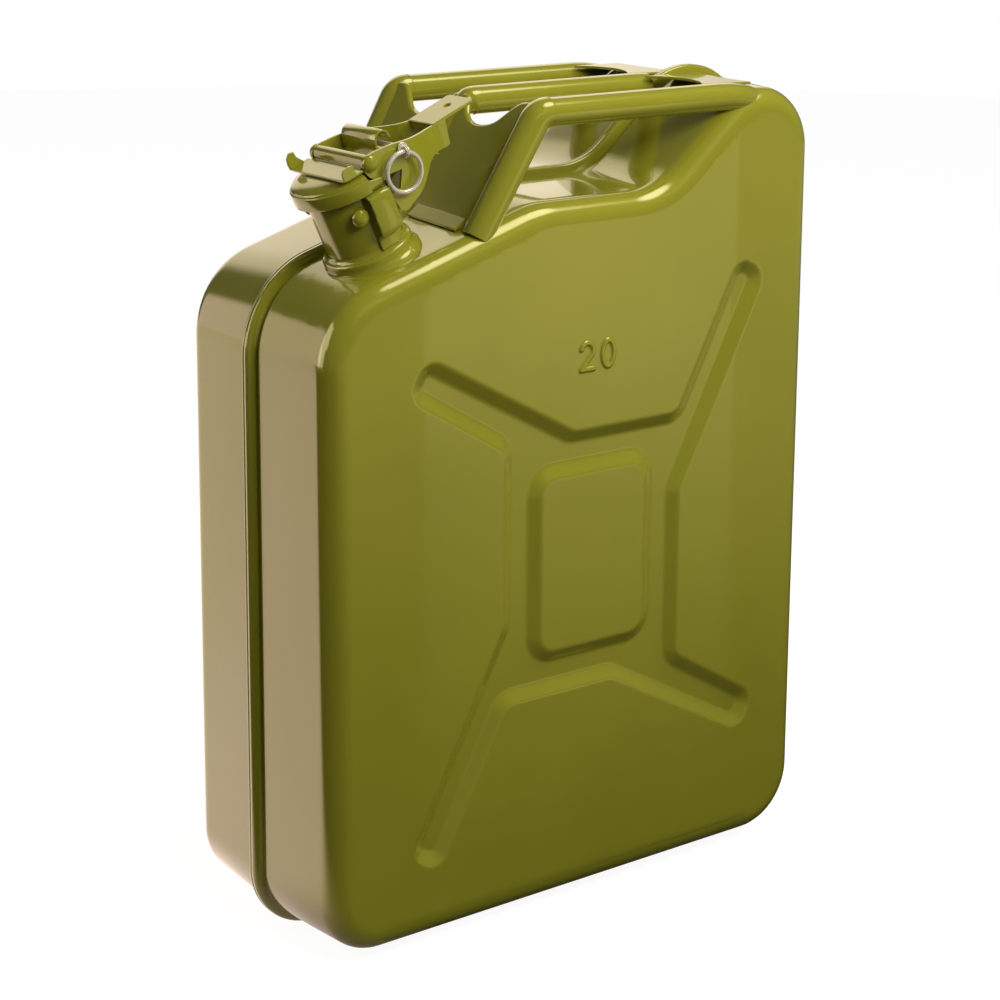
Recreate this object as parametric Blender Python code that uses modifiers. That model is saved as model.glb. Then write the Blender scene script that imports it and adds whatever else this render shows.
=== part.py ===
"""Pressed steel fuel can with a lever-locked cap and a triple carrying handle.

The can stands on the floor plane, spout towards -X, broad faces towards -Y and +Y.
Everything is in metres and +Z is up.
"""
import math

import bmesh
import bpy
from mathutils import Matrix, Vector

# Body
BODY_LENGTH = 0.345
BODY_WIDTH = 0.146
BODY_BOTTOM = 0.005
SHEET = 0.0009
GAP = 0.0003
WELD = 0.00001
DRAFT_SLOPE = 0.05
FACE_FILLET = 0.013

# Outline of the body seen from the broad side
BOTTOM_FRONT_RADIUS = 0.036
BOTTOM_REAR_RADIUS = 0.040
HUMP_TOP = 0.4675
SHOULDER_FRONT = HUMP_TOP - 0.0955
SHOULDER_RADIUS = 0.052
SCOOP_FLOOR = HUMP_TOP - 0.052
SCOOP_FRONT_SHARE = -0.09275
SCOOP_FRONT = BODY_LENGTH * SCOOP_FRONT_SHARE
SCOOP_FRONT_RADIUS = 0.060
SCOOP_REAR_SHARE = 0.16058
SCOOP_REAR = BODY_LENGTH * SCOOP_REAR_SHARE
SCOOP_REAR_RADIUS = 0.050
HUMP_FRONT_SHARE = 0.32812
HUMP_FRONT = BODY_LENGTH * HUMP_FRONT_SHARE
HUMP_FRONT_RADIUS = 0.045
HUMP_REAR_RADIUS = 0.040

# Seam bead and feet
SEAM_HALF = 0.0048
SEAM_CREST = 0.0034
SEAM_PROUD = 0.0042
SEAM_SHOULDER = 0.0030
FOOT_X = BODY_LENGTH / 2 - 0.0545
FOOT_INNER = 0.014
FOOT_OUTER = 0.050
FOOT_HALF_LENGTH = 0.022
FOOT_SLOPE = 0.004
FOOT_TOP = 0.012

# Pressed cross on the broad faces, with its sizes for a body of the length named here
CROSS_BODY_LENGTH = 0.345
CROSS_SCALE = BODY_LENGTH / CROSS_BODY_LENGTH
CROSS_X = 0.00645
CROSS_Z = 0.2077
CROSS_DEPTH = 0.0045
CROSS_WALL_RUN = 0.007
CROSS_SIDE = 0.0635
CROSS_SIDE_TOP = 0.071
CROSS_SIDE_DIP = 0.029
CROSS_CAP = 0.0754
CROSS_CAP_LEFT = -0.0145
CROSS_CAP_RIGHT = 0.0605
CROSS_CORNER = 0.009
CROSS_ARM_HALF = 0.0123
CROSS_TIP_RADIUS = 0.0106
LOW_TIP = (-0.1105, 0.114)
LOW_ARM_ANGLE = math.radians(150.0)
HIGH_TIP = (0.1105, 0.145)
HIGH_ARM_ANGLE = math.radians(61.7)
PANEL_HALF_WIDTH = 0.037
PANEL_HALF_HEIGHT = 0.050
PANEL_RADIUS = 0.010

# Slope of the shoulder that carries the neck and the handle's legs
SHOULDER_RISE = (SCOOP_FLOOR - SHOULDER_FRONT) / (SCOOP_FRONT + BODY_LENGTH / 2)

# Neck frame: s runs to the rear, t across, h along the neck
NECK_X = 0.0554 - BODY_LENGTH / 2
NECK_SINK = 0.00055
NECK_PLACE = (
    NECK_X, 0.041 - BODY_WIDTH / 2, SHOULDER_FRONT + (NECK_X + BODY_LENGTH / 2) * SHOULDER_RISE - NECK_SINK)
NECK_TILT = math.radians(24.0)
NECK_RADIUS = 0.0215
NECK_WALL = 0.0012
NECK_BOTTOM = -0.012
NECK_RIM = 0.0445
COLLAR_RADIUS = 0.0241
COLLAR_TOP = 0.006
COLLAR_BOTTOM = -0.007
COLLAR_EDGE = 0.0012
BREATHER_RADIUS = 0.0036
BREATHER_S = NECK_RADIUS - NECK_WALL - GAP - BREATHER_RADIUS
BREATHER_PATH = (
    (BREATHER_S, 0.0, 0.034), (BREATHER_S, 0.0, -0.012), (0.0190, 0.0, -0.020), (0.0250, 0.0, -0.025),
    (0.0600, 0.0, -0.030))

# Cap and seal
CAP_RADIUS = 0.0273
CAP_LOW = 0.0410
CAP_TOP = 0.0502
CAP_EDGE = 0.0014
CAP_ROUND_SHARES = ((3.0, 0.0), (1.0, 0.25), (0.33, 0.7), (0.0, 1.5))
CAP_SHEET = 0.0015
CAP_RING = 0.0050
SEAL_INNER = 0.0182
SEAL_TOP = 0.0483
CHEEK_INSIDE = 0.0231
CHEEK_SHEET = 0.0016
CAP_FLAT_START = 0.0008
FINGER_OUTLINE = ((-0.0010, 0.0420), (-0.0010, 0.0475), (0.0042, 0.0462), (0.0094, 0.0455), (0.0094, 0.0432),
                  (0.0040, 0.0430))
FINGER_SHEET = 0.0009

# Saddle and its pivot
PIVOT_S = 0.0065
PIVOT_H = 0.0548
PIVOT_RADIUS = 0.0024
SADDLE_RADIUS = 0.0042
ROLL_START = math.radians(186.0)
ROLL_TURN = math.radians(340.0)
ROLL_STEPS = 15
SADDLE_HALF = 0.0228
SADDLE_FRONT = -0.012
SADDLE_LOW = 0.0530
SADDLE_HIGH = 0.0544
SADDLE_WING = 0.026
EAR_OUTLINE = ((-0.0120, 0.0532), (-0.0110, 0.0588), (-0.0055, 0.0600), (-0.0038, 0.0532))
RIVET_HEAD = 0.0046
RIVET_RISE = 0.0032

# Lever
LEVER_OUTLINE = (
    (0.0014, 0.0545), (0.0022, 0.0572), (0.0046, 0.0589), (0.0075, 0.0593), (0.0150, 0.0586),
    (0.0230, 0.0575), (0.0310, 0.0552), (0.0393, 0.0527), (0.0460, 0.0506), (0.0530, 0.0489),
    (0.0600, 0.0479), (0.0658, 0.0473), (0.0635, 0.0340), (0.0614, 0.0332), (0.0570, 0.0340),
    (0.0525, 0.0344), (0.0480, 0.0341), (0.0438, 0.0333), (0.0370, 0.0296), (0.0307, 0.0257),
    (0.0228, 0.0226), (0.0190, 0.0210), (0.0160, 0.0211), (0.0138, 0.0230), (0.0130, 0.0270),
    (0.0115, 0.0333), (0.0185, 0.0339), (0.0231, 0.0424), (0.0147, 0.0438), (0.0116, 0.0436),
    (0.0065, 0.0454), (0.0027, 0.0485))
LEVER_PLAN = (
    (0.0270, 0.0231), (0.0310, 0.0228), (0.0350, 0.0216), (0.0390, 0.0196), (0.0430, 0.0172),
    (0.0470, 0.0147), (0.0510, 0.0124), (0.0550, 0.0109), (0.0590, 0.0102), (0.0630, 0.0101))
TAB_START = 0.0575
TAB_END = 0.087
TAB_HALF = 0.0116
TAB_LOW = 0.0469
TAB_HIGH = 0.0487
TAB_LIP = 0.0440
TAB_HOLE_S = 0.077
TAB_HOLE_RADIUS = 0.002

# Safety pin, its hood and its ring
PIN_S = 0.0273
PIN_H = 0.0530
PIN_RADIUS = 0.0015
PIN_BALL = 0.0022
BALL_DEPTH_SHARE = 1.8
PIN_HOLE = 0.0025
PIN_FAR = 0.0272
PIN_NEAR = -0.0264
PIN_FLANGE = 0.0029
EYE_TURN = 0.0026
EYE_WIRE = 0.0009
EYE_STEPS = 16
RING_WIRE = 0.00115
RING_TURN = 0.0106
RING_STEPS = 40
RING_S = 0.0216
RING_H = 0.0419
RING_T = -0.0286
HOOD_PATH = (
    (0.0226, 0.0512), (0.0226, 0.0555), (0.0234, 0.0582), (0.0252, 0.0600), (0.0274, 0.0604),
    (0.0296, 0.0594), (0.0311, 0.0572), (0.0316, 0.0545))
HOOD_NEAR = -0.0095
HOOD_FAR = 0.0222
HOOD_SHEET = 0.0012

# Rear hinge of the cap
HINGE_S = 0.033
HINGE_H = 0.040
HINGE_RADIUS = 0.0017
HINGE_HALF = 0.0095
LUG_INNER = 0.0062
LUG_OUTER = 0.0080
LUG_EYE = 0.0042
LUG_OUTLINE = ((0.0225, 0.0150), (0.0225, 0.0380), (0.0290, 0.0395), (0.0330, 0.0442), (0.0372, 0.0400),
               (0.0360, 0.0368), (0.0245, 0.0150))
LUG_BASE = (0.0218, 0.0232)
LUG_BASE_HEIGHTS = (0.0140, 0.0384)
ARM_OUTLINE = ((0.0277, 0.0415), (0.0277, 0.0494), (0.0291, 0.0494), (0.0300, 0.0440), (0.0330, 0.0434),
               (0.0364, 0.0400), (0.0330, 0.0366), (0.0299, 0.0385), (0.0292, 0.0415))
ARM_HALF = 0.0057

# Keepers on both sides of the neck
KEEPER_FRONT = -0.004
KEEPER_REAR = 0.010
KEEPER_SHEET = 0.0014
KEEPER_PATH = (
    (0.0232, 0.0396), (0.0270, 0.0396), (0.0286, 0.0378), (0.0286, 0.0190), (0.0270, 0.0165),
    (0.0232, 0.0152), (0.0227, 0.0140), (0.0227, 0.0080))
STUD_S = -0.0095
STUD_H = 0.031
STUD_HEAD = 0.0050
STUD_SHANK = 0.0024
STUD_START = 0.0207
STUD_FACE = 0.0232
STUD_RISE = 0.0036

# Handle
BAR_RADIUS = 0.0085
BAR_WALL = 0.0013
BAR_HEIGHT = HUMP_TOP - 0.0065
BAR_SPACING = BODY_WIDTH / 2 - 0.007
BAR_FRONT = SCOOP_FRONT + 0.001
BAR_REAR = HUMP_FRONT + 0.0208
MIDDLE_BAR_FRONT = SCOOP_FRONT + 0.005
MIDDLE_BAR_REAR = HUMP_FRONT - 0.0052
LEG_X = SCOOP_FRONT - 0.0355
LEG_SINK = 0.00214
LEG_FOOT = (
    LEG_X, BODY_WIDTH / 2 - 0.0118, SHOULDER_FRONT + (LEG_X + BODY_LENGTH / 2) * SHOULDER_RISE - LEG_SINK)
PLATE_RISE = 0.0055
PLATE_SHEET = 0.0015
# Half of the front plate: part of the bar spacing across, part of the leg's length up
PLATE_SHARES = (
    (0.8485, -0.1508), (0.9061, 0.9929), (0.8182, 1.0206), (0.7197, 0.9452), (0.6061, 0.8383),
    (0.5000, 0.7943), (0.3788, 0.7818), (0.2727, 0.8044), (0.1894, 0.8635), (0.1288, 0.9577),
    (0.1061, 1.0206))
WEB_FRONT = HUMP_FRONT - 0.0097
WEB_INNER = 0.0088
WEB_OUTER = BAR_SPACING - 0.0088
WEB_LOW = HUMP_TOP + 0.0004
WEB_HIGH = HUMP_TOP + 0.0018
REACH = 0.5

ARC_STEP = math.radians(12.0)
COARSE_STEP = math.radians(24.0)
OLIVE = (0.20, 0.19, 0.035)
ZINC = (0.72, 0.68, 0.60)
RUBBER = (0.02, 0.02, 0.02)
FINISHES = {"paint": (OLIVE, 0.18, 0.0), "zinc": (ZINC, 0.25, 1.0), "rubber": (RUBBER, 0.7, 0.0)}

for old in list(bpy.data.objects):
    bpy.data.objects.remove(old, do_unlink=True)

parts = bpy.data.collections.new("steel_fuel_can")
cutters = bpy.data.collections.new("cutters")
bpy.context.scene.collection.children.link(parts)
bpy.context.scene.collection.children.link(cutters)


def own_material(name, finish):
    """Return a Principled material of one finish for one node."""
    colour, roughness, metallic = FINISHES[finish]
    material = bpy.data.materials.new(name + "_" + finish)
    material.use_nodes = True
    shader = material.node_tree.nodes["Principled BSDF"]
    shader.inputs["Base Color"].default_value = (*colour, 1.0)
    shader.inputs["Roughness"].default_value = roughness
    shader.inputs["Metallic"].default_value = metallic
    return material


def add_object(name, data, finish="paint", cutter=False, parent=None, offset=(0.0, 0.0, 0.0)):
    """Link a mesh as a part with its own material, or as a hidden cutter."""
    item = bpy.data.objects.new(name, data)
    if cutter:
        cutters.objects.link(item)
        item.hide_render = True
        item.display_type = "WIRE"
    else:
        parts.objects.link(item)
        data.materials.append(own_material(name, finish))
    item.parent = parent
    item.location = offset
    return item


def add_mesh(name, bm, **options):
    """Turn a bmesh into an object with its faces turned outward."""
    bmesh.ops.recalc_face_normals(bm, faces=bm.faces)
    mesh = bpy.data.meshes.new(name)
    bm.to_mesh(mesh)
    bm.free()
    return add_object(name, mesh, **options)


def pivot(name, parent, place):
    """Add an empty on a joint axis."""
    item = bpy.data.objects.new(name, None)
    parts.objects.link(item)
    item.parent = parent
    item.location = place
    return item


def on_joint(joint, place):
    """Return the options that hang a part on a joint's empty, drawn in the empty's parent frame."""
    return {"parent": joint, "offset": -Vector(place)}


def boolean(item, other, operation="DIFFERENCE"):
    """Add an exact Boolean modifier."""
    modifier = item.modifiers.new(operation.lower(), "BOOLEAN")
    modifier.operation = operation
    modifier.object = other
    modifier.solver = "EXACT"


def thicken(item, thickness, offset):
    """Give an open surface its sheet thickness."""
    modifier = item.modifiers.new("sheet", "SOLIDIFY")
    modifier.thickness = thickness
    modifier.offset = offset
    modifier.use_even_offset = True


def smooth(item):
    """Shade the curved faces smooth and keep the creases."""
    item.data.shade_smooth()
    item.data.set_sharp_from_angle(angle=math.radians(40.0))


def solid_mesh(item):
    """Return a welded copy of an object's evaluated mesh and remove the object."""
    depsgraph = bpy.context.evaluated_depsgraph_get()
    evaluated = item.evaluated_get(depsgraph)
    mesh = bpy.data.meshes.new_from_object(evaluated)
    mesh.transform(evaluated.matrix_world)
    bpy.data.objects.remove(item, do_unlink=True)
    bm = bmesh.new()
    bm.from_mesh(mesh)
    bmesh.ops.remove_doubles(bm, verts=bm.verts, dist=WELD)
    bm.to_mesh(mesh)
    bm.free()
    return mesh


def rounded(corners, step=ARC_STEP):
    """Round each (x, z, radius) corner of a closed outline with an arc."""
    points = []
    count = len(corners)
    for index, (x, z, radius) in enumerate(corners):
        here = Vector((x, z))
        before = (Vector(corners[index - 1][:2]) - here).normalized()
        after = (Vector(corners[(index + 1) % count][:2]) - here).normalized()
        turn = math.pi - before.angle(after)
        start = here + before * (radius * math.tan(turn / 2))
        centre = here + (before + after).normalized() * (radius / math.cos(turn / 2))
        side = 1.0 if before.cross(after) < 0 else -1.0
        pieces = math.ceil(turn / step)
        for piece in range(pieces + 1):
            turned = Matrix.Rotation(side * turn * piece / pieces, 2)
            points.append(centre + turned @ (start - centre))
    return points


def step_face(bm, face, y, inset):
    """Extrude an XZ face to the plane at y and draw its edge in evenly."""
    result = bmesh.ops.extrude_face_region(bm, geom=[face], use_keep_orig=True)
    new = next(part for part in result["geom"] if isinstance(part, bmesh.types.BMFace))
    spots = [Vector((loop.vert.co.x, loop.vert.co.z)) for loop in new.loops]
    area = sum(a.cross(b) for a, b in zip(spots, spots[1:] + spots[:1]))
    side = 1.0 if area > 0 else -1.0
    for index, loop in enumerate(new.loops):
        ahead = (spots[(index + 1) % len(spots)] - spots[index]).normalized()
        behind = (spots[index] - spots[index - 1]).normalized()
        inward = Vector((-ahead.y - behind.y, ahead.x + behind.x)) * side
        spot = spots[index] + inward * (inset / (1.0 + ahead.dot(behind)))
        loop.vert.co = (spot.x, y, spot.y)
    return new


def stack(name, points, levels, **options):
    """Build a closed solid on an XZ outline from (y, inset from the outline) levels."""
    bm = bmesh.new()
    start, drawn = levels[0]
    first = bm.faces.new([bm.verts.new((point[0], start, point[1])) for point in points])
    if drawn != 0:
        base = first
        first = step_face(bm, base, start, drawn)
        bmesh.ops.delete(bm, geom=[face for face in bm.faces if face is not first], context="FACES")
    face = first
    for y, inset in levels[1:]:
        new = step_face(bm, face, y, inset - drawn)
        if face is not first:
            bmesh.ops.delete(bm, geom=[face], context="FACES_ONLY")
        face = new
        drawn = inset
    return add_mesh(name, bm, **options)


def box(name, low, high, **options):
    """Build a block between two corners."""
    bm = bmesh.new()
    low = Vector(low)
    high = Vector(high)
    bmesh.ops.create_cube(bm, size=1.0)
    bmesh.ops.scale(bm, vec=high - low, verts=bm.verts)
    bmesh.ops.translate(bm, vec=(high + low) / 2, verts=bm.verts)
    return add_mesh(name, bm, **options)


def rod(name, start, end, radius, sides=20, capped=True, **options):
    """Build a round bar between two points, or its open skin."""
    bm = bmesh.new()
    start = Vector(start)
    end = Vector(end)
    turn = (end - start).to_track_quat("Z", "Y").to_matrix().to_4x4()
    bmesh.ops.create_cone(
        bm, cap_ends=capped, segments=sides, radius1=radius, radius2=radius,
        depth=(end - start).length, matrix=Matrix.Translation((start + end) / 2) @ turn)
    item = add_mesh(name, bm, **options)
    smooth(item)
    return item


def turned(name, profile, steps, axis="Z", **options):
    """Turn a closed (radius, height) profile round the local Z or Y axis with a Screw modifier."""
    mesh = bpy.data.meshes.new(name)
    count = len(profile)
    edges = [(index, index + 1) for index in range(count - 1)]
    if profile[0][0] != 0:
        edges.append((count - 1, 0))
    points = [(radius, 0.0, height) for radius, height in profile]
    if axis == "Y":
        points = [(radius, height, 0.0) for radius, height in profile]
    mesh.from_pydata(points, edges, [])
    item = add_object(name, mesh, **options)
    screw = item.modifiers.new("turn", "SCREW")
    screw.axis = axis
    screw.steps = steps
    screw.render_steps = steps
    screw.use_merge_vertices = True
    screw.merge_threshold = WELD
    screw.use_smooth_shade = True
    return item


def strip(name, path, plane, low, high, thickness, **options):
    """Build a bent strip: a path in the XZ or YZ plane, carried from low to high along the other axis."""
    bm = bmesh.new()
    rows = []
    for across, height in path:
        if plane == "XZ":
            ends = [(across, low, height), (across, high, height)]
        else:
            ends = [(low, across, height), (high, across, height)]
        rows.append([bm.verts.new(end) for end in ends])
    for row, following in zip(rows, rows[1:]):
        bm.faces.new((row[0], row[1], following[1], following[0]))
    mesh = bpy.data.meshes.new(name)
    bm.to_mesh(mesh)
    bm.free()
    item = add_object(name, mesh, **options)
    thicken(item, thickness, 0.0)
    return item


def swept(name, points, radius, closed=False, capped=True, resolution=2, **options):
    """Build a round wire along a list of points."""
    curve = bpy.data.curves.new(name, "CURVE")
    curve.dimensions = "3D"
    curve.bevel_depth = radius
    curve.bevel_resolution = resolution
    curve.use_fill_caps = capped
    spline = curve.splines.new("POLY")
    spline.points.add(len(points) - 1)
    spline.use_cyclic_u = closed
    for spot, point in zip(spline.points, points):
        spot.co = (*point, 1.0)
    path = bpy.data.objects.new(name + "_path", curve)
    parts.objects.link(path)
    item = add_object(name, solid_mesh(path), **options)
    smooth(item)
    return item


def half_space(name, place, normal, **options):
    """Build a cutter that fills the space on the normal's side of a plane."""
    bm = bmesh.new()
    bmesh.ops.create_cube(bm, size=REACH)
    turn = Vector(normal).to_track_quat("Z", "Y").to_matrix().to_4x4()
    middle = Vector(place) + Vector(normal).normalized() * (REACH / 2)
    bmesh.ops.transform(bm, matrix=Matrix.Translation(middle) @ turn, verts=bm.verts)
    return add_mesh(name, bm, cutter=True, **options)


# Body halves, each an open pressing with the cross, the feet and half of the seam bead

body_edge = rounded([
    (-BODY_LENGTH / 2, BODY_BOTTOM, BOTTOM_FRONT_RADIUS),
    (-BODY_LENGTH / 2, SHOULDER_FRONT, SHOULDER_RADIUS),
    (SCOOP_FRONT, SCOOP_FLOOR, SCOOP_FRONT_RADIUS),
    (SCOOP_REAR, SCOOP_FLOOR, SCOOP_REAR_RADIUS),
    (HUMP_FRONT, HUMP_TOP, HUMP_FRONT_RADIUS),
    (BODY_LENGTH / 2, HUMP_TOP, HUMP_REAR_RADIUS),
    (BODY_LENGTH / 2, BODY_BOTTOM, BOTTOM_REAR_RADIUS)])


def hull_levels(side, start, grow):
    """Return the levels of a half hull from near the seam plane to the broad face."""
    flat = BODY_WIDTH / 2 - FACE_FILLET
    drawn = DRAFT_SLOPE * flat
    turns = 5
    levels = [
        (start, -SEAM_PROUD - grow),
        (side * (SEAM_CREST + grow), -SEAM_PROUD - grow),
        (side * (SEAM_HALF + grow), -SEAM_SHOULDER - grow),
        (side * (SEAM_HALF + GAP + grow), DRAFT_SLOPE * SEAM_HALF - grow),
        (side * flat, drawn - grow)]
    for turn in range(1, turns + 1):
        angle = math.pi / 2 * turn / turns
        radius = FACE_FILLET + grow
        inset = drawn - grow + radius * (1.0 - math.cos(angle))
        levels.append((side * (flat + radius * math.sin(angle)), inset))
    return levels


def cross_edge():
    """Return the edge of the pressed cross where it leaves the broad face."""
    half = [(-CROSS_SIDE, CROSS_SIDE_TOP, CROSS_CORNER)]
    caps = [(CROSS_CAP_LEFT, CROSS_CAP, CROSS_CORNER), (CROSS_CAP_RIGHT, CROSS_CAP, CROSS_CORNER)]
    for tip, angle, following in ((LOW_TIP, LOW_ARM_ANGLE, caps), (HIGH_TIP, HIGH_ARM_ANGLE, [])):
        along = Vector((math.cos(angle), math.sin(angle))) * CROSS_ARM_HALF
        across = Vector((-along.y, along.x))
        for side in (1.0, -1.0):
            corner = Vector(tip) + along + across * side
            half.append((*corner, CROSS_TIP_RADIUS))
        half.extend(following)
    half.append((CROSS_SIDE, CROSS_SIDE_DIP, CROSS_CORNER))
    whole = half + [(-x, -z, radius) for x, z, radius in half]
    return [point * CROSS_SCALE + Vector((CROSS_X, CROSS_Z)) for point in rounded(whole, COARSE_STEP)]


def panel_edge():
    """Return the edge of the raised panel in the middle of the cross."""
    corners = [(-1, -1), (-1, 1), (1, 1), (1, -1)]
    sized = [(x * PANEL_HALF_WIDTH, z * PANEL_HALF_HEIGHT, PANEL_RADIUS) for x, z in corners]
    return [point * CROSS_SCALE + Vector((CROSS_X, CROSS_Z)) for point in rounded(sized, COARSE_STEP)]


def foot(name, x, side):
    """Build the solid of one pressed foot."""
    bm = bmesh.new()
    bmesh.ops.create_cube(bm, size=1.0)
    for vert in bm.verts:
        drawn = FOOT_SLOPE if vert.co.z < 0 else 0.0
        vert.co.x = x + math.copysign(FOOT_HALF_LENGTH - drawn, vert.co.x)
        vert.co.y = side * (FOOT_INNER + drawn) if vert.co.y * side < 0 else side * (FOOT_OUTER - drawn)
        vert.co.z = 0.0 if vert.co.z < 0 else FOOT_TOP
    return add_mesh(name, bm, cutter=True)


def half_body(name, side):
    """Build one pressed half of the body, open at the seam."""
    solid = stack(name + "_solid", body_edge, hull_levels(side, side * GAP / 2, 0.0))
    face = BODY_WIDTH / 2
    slope = CROSS_WALL_RUN / CROSS_DEPTH
    cross = stack(name + "_cross", cross_edge(), [
        (side * (face + CROSS_DEPTH / 2), -CROSS_WALL_RUN / 2),
        (side * (face - CROSS_DEPTH), CROSS_WALL_RUN)], cutter=True)
    panel = stack(name + "_panel", panel_edge(), [
        (side * (face + CROSS_DEPTH), CROSS_DEPTH * slope),
        (side * (face - CROSS_DEPTH * 2), -CROSS_DEPTH * 2 * slope)], cutter=True)
    boolean(cross, panel)
    boolean(solid, cross)
    for x in (-FOOT_X, FOOT_X):
        boolean(solid, foot(name + "_foot", x, side), "UNION")
    mesh = solid_mesh(solid)
    bm = bmesh.new()
    bm.from_mesh(mesh)
    seam = [item for item in bm.faces if all(abs(vert.co.y) < GAP for vert in item.verts)]
    bmesh.ops.delete(bm, geom=seam, context="FACES_ONLY")
    bmesh.ops.dissolve_degenerate(bm, edges=bm.edges, dist=WELD)
    bm.to_mesh(mesh)
    bm.free()
    mesh.materials.clear()
    item = add_object(name, mesh)
    smooth(item)
    thicken(item, SHEET, -1.0)
    return item


neck_frame = pivot("neck_frame", None, NECK_PLACE)
neck_frame.rotation_euler = (0.0, -NECK_TILT, 0.0)

half_near = half_body("half_near", -1.0)
half_far = half_body("half_far", 1.0)
neck_hole = rod("neck_hole", (0, 0, NECK_BOTTOM - FOOT_TOP), (0, 0, FOOT_TOP), NECK_RADIUS + GAP, 36,
                cutter=True, parent=neck_frame)
boolean(half_near, neck_hole)

# Space taken by the body with a small gap, cut from everything that stands on it
near_levels = hull_levels(-1.0, 0.0, GAP)[1:]
far_levels = hull_levels(1.0, 0.0, GAP)[1:]
envelope = stack("body_envelope", body_edge, near_levels[::-1] + far_levels, cutter=True)

# Filler neck with its collar and the breather tube inside it
neck = {"parent": neck_frame}
bore = NECK_RADIUS - NECK_WALL
turned("neck_tube", [
    (NECK_RADIUS, NECK_RIM - COLLAR_EDGE / 2), (NECK_RADIUS, NECK_BOTTOM), (bore, NECK_BOTTOM),
    (bore, NECK_RIM - COLLAR_EDGE / 2), (bore + NECK_WALL / 2, NECK_RIM)], 36, **neck)
collar = turned("neck_collar", [
    (NECK_RADIUS + GAP, COLLAR_TOP), (COLLAR_RADIUS - COLLAR_EDGE, COLLAR_TOP),
    (COLLAR_RADIUS, COLLAR_TOP - COLLAR_EDGE), (COLLAR_RADIUS, COLLAR_BOTTOM),
    (NECK_RADIUS + GAP, COLLAR_BOTTOM)], 36, **neck)
boolean(collar, envelope)
breather = swept("breather_tube", BREATHER_PATH, BREATHER_RADIUS, capped=False, resolution=1, **neck)
thicken(breather, NECK_WALL / 2, -1.0)

# Cap with its seal, opening about the rear hinge
cap_hinge = pivot("cap_hinge", neck_frame, (HINGE_S, 0.0, HINGE_H))
cap_part = on_joint(cap_hinge, (HINGE_S, 0.0, HINGE_H))
under = CAP_TOP - CAP_SHEET
cap_round = [(CAP_RADIUS - CAP_EDGE * inset, CAP_TOP - CAP_EDGE * drop) for inset, drop in CAP_ROUND_SHARES]
cap = turned("cap_lid", [
    (0.0, CAP_TOP), *cap_round, (CAP_RADIUS, CAP_LOW + CAP_EDGE / 3), (CAP_RADIUS - CAP_EDGE / 3, CAP_LOW),
    (CAP_RADIUS - CAP_RING, CAP_LOW), (CAP_RADIUS - CAP_RING, NECK_RIM), (CAP_RADIUS - CAP_RING / 2, under),
    (0.0, under)], 40, **cap_part)
for side in (-1.0, 1.0):
    flat = box("cap_flat", (CAP_FLAT_START, side * (CHEEK_INSIDE - GAP), CAP_LOW / 2),
               (CAP_RADIUS * 2, side * CAP_RADIUS * 2, CAP_TOP * 2), cutter=True, parent=neck_frame)
    boolean(cap, flat)
for side in (-1.0, 1.0):
    outside = CHEEK_INSIDE + CHEEK_SHEET + GAP
    finger = stack("cap_finger", FINGER_OUTLINE, [
        (side * outside, 0.0), (side * (outside + FINGER_SHEET), 0.0)], cutter=True, parent=neck_frame)
    boolean(cap, finger, "UNION")
turned("cap_seal", [
    (SEAL_INNER, SEAL_TOP), (NECK_RADIUS, SEAL_TOP), (NECK_RADIUS, NECK_RIM + GAP),
    (SEAL_INNER, NECK_RIM + GAP)], 36, finish="rubber", **cap_part)

# Saddle on the cap: a plate with two ears, rolled at its rear round the lever's pivot
roll = []
for index in range(ROLL_STEPS + 1):
    angle = ROLL_START - ROLL_TURN * index / ROLL_STEPS
    roll.append((PIVOT_S + SADDLE_RADIUS * math.cos(angle), PIVOT_H + SADDLE_RADIUS * math.sin(angle)))
saddle = stack("saddle_plate", [(SADDLE_FRONT / 2, SADDLE_LOW), (SADDLE_FRONT / 2, SADDLE_HIGH)] + roll, [
    (-SADDLE_HALF, 0.0), (SADDLE_HALF, 0.0)], **cap_part)
wing = box("saddle_wing", (SADDLE_FRONT, -SADDLE_WING, SADDLE_LOW), (CAP_FLAT_START, SADDLE_WING, SADDLE_HIGH),
           cutter=True, parent=neck_frame)
boolean(saddle, wing, "UNION")
for side in (-1.0, 1.0):
    ear = stack("saddle_ear", EAR_OUTLINE, [
        (side * (SADDLE_WING - PLATE_SHEET), 0.0), (side * (SADDLE_WING + WELD), 0.0)],
        cutter=True, parent=neck_frame)
    boolean(saddle, ear, "UNION")
pivot_bore = rod("pivot_bore", (PIVOT_S, -SADDLE_WING, PIVOT_H), (PIVOT_S, SADDLE_WING, PIVOT_H),
                 PIVOT_RADIUS + GAP, 20, cutter=True, parent=neck_frame)
boolean(saddle, pivot_bore)


def dome(base, head, rise, sign):
    """Return the profile of a domed rivet head standing on a face at base."""
    points = [(head, base)]
    for index in range(1, 4):
        angle = math.pi / 2 * index / 4
        points.append((head * math.cos(angle), base + sign * rise * math.sin(angle)))
    return points + [(0.0, base + sign * rise)]


def double_dome(half, shank, head, rise):
    """Return the profile of a pin with a domed head on both ends."""
    upper = dome(half, head, rise, 1.0)
    lower = dome(-half, head, rise, -1.0)
    return upper[::-1] + [(shank, half), (shank, -half)] + lower


lever_hinge = pivot("lever_hinge", cap_hinge, (PIVOT_S - HINGE_S, 0.0, PIVOT_H - HINGE_H))
turned("pivot_pin", double_dome(CHEEK_INSIDE + CHEEK_SHEET + GAP, PIVOT_RADIUS, RIVET_HEAD, RIVET_RISE),
       20, axis="Y", parent=lever_hinge)

# Lever: two cheeks that close in towards the tab between them
lever_part = on_joint(lever_hinge, (PIVOT_S, 0.0, PIVOT_H))


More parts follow.
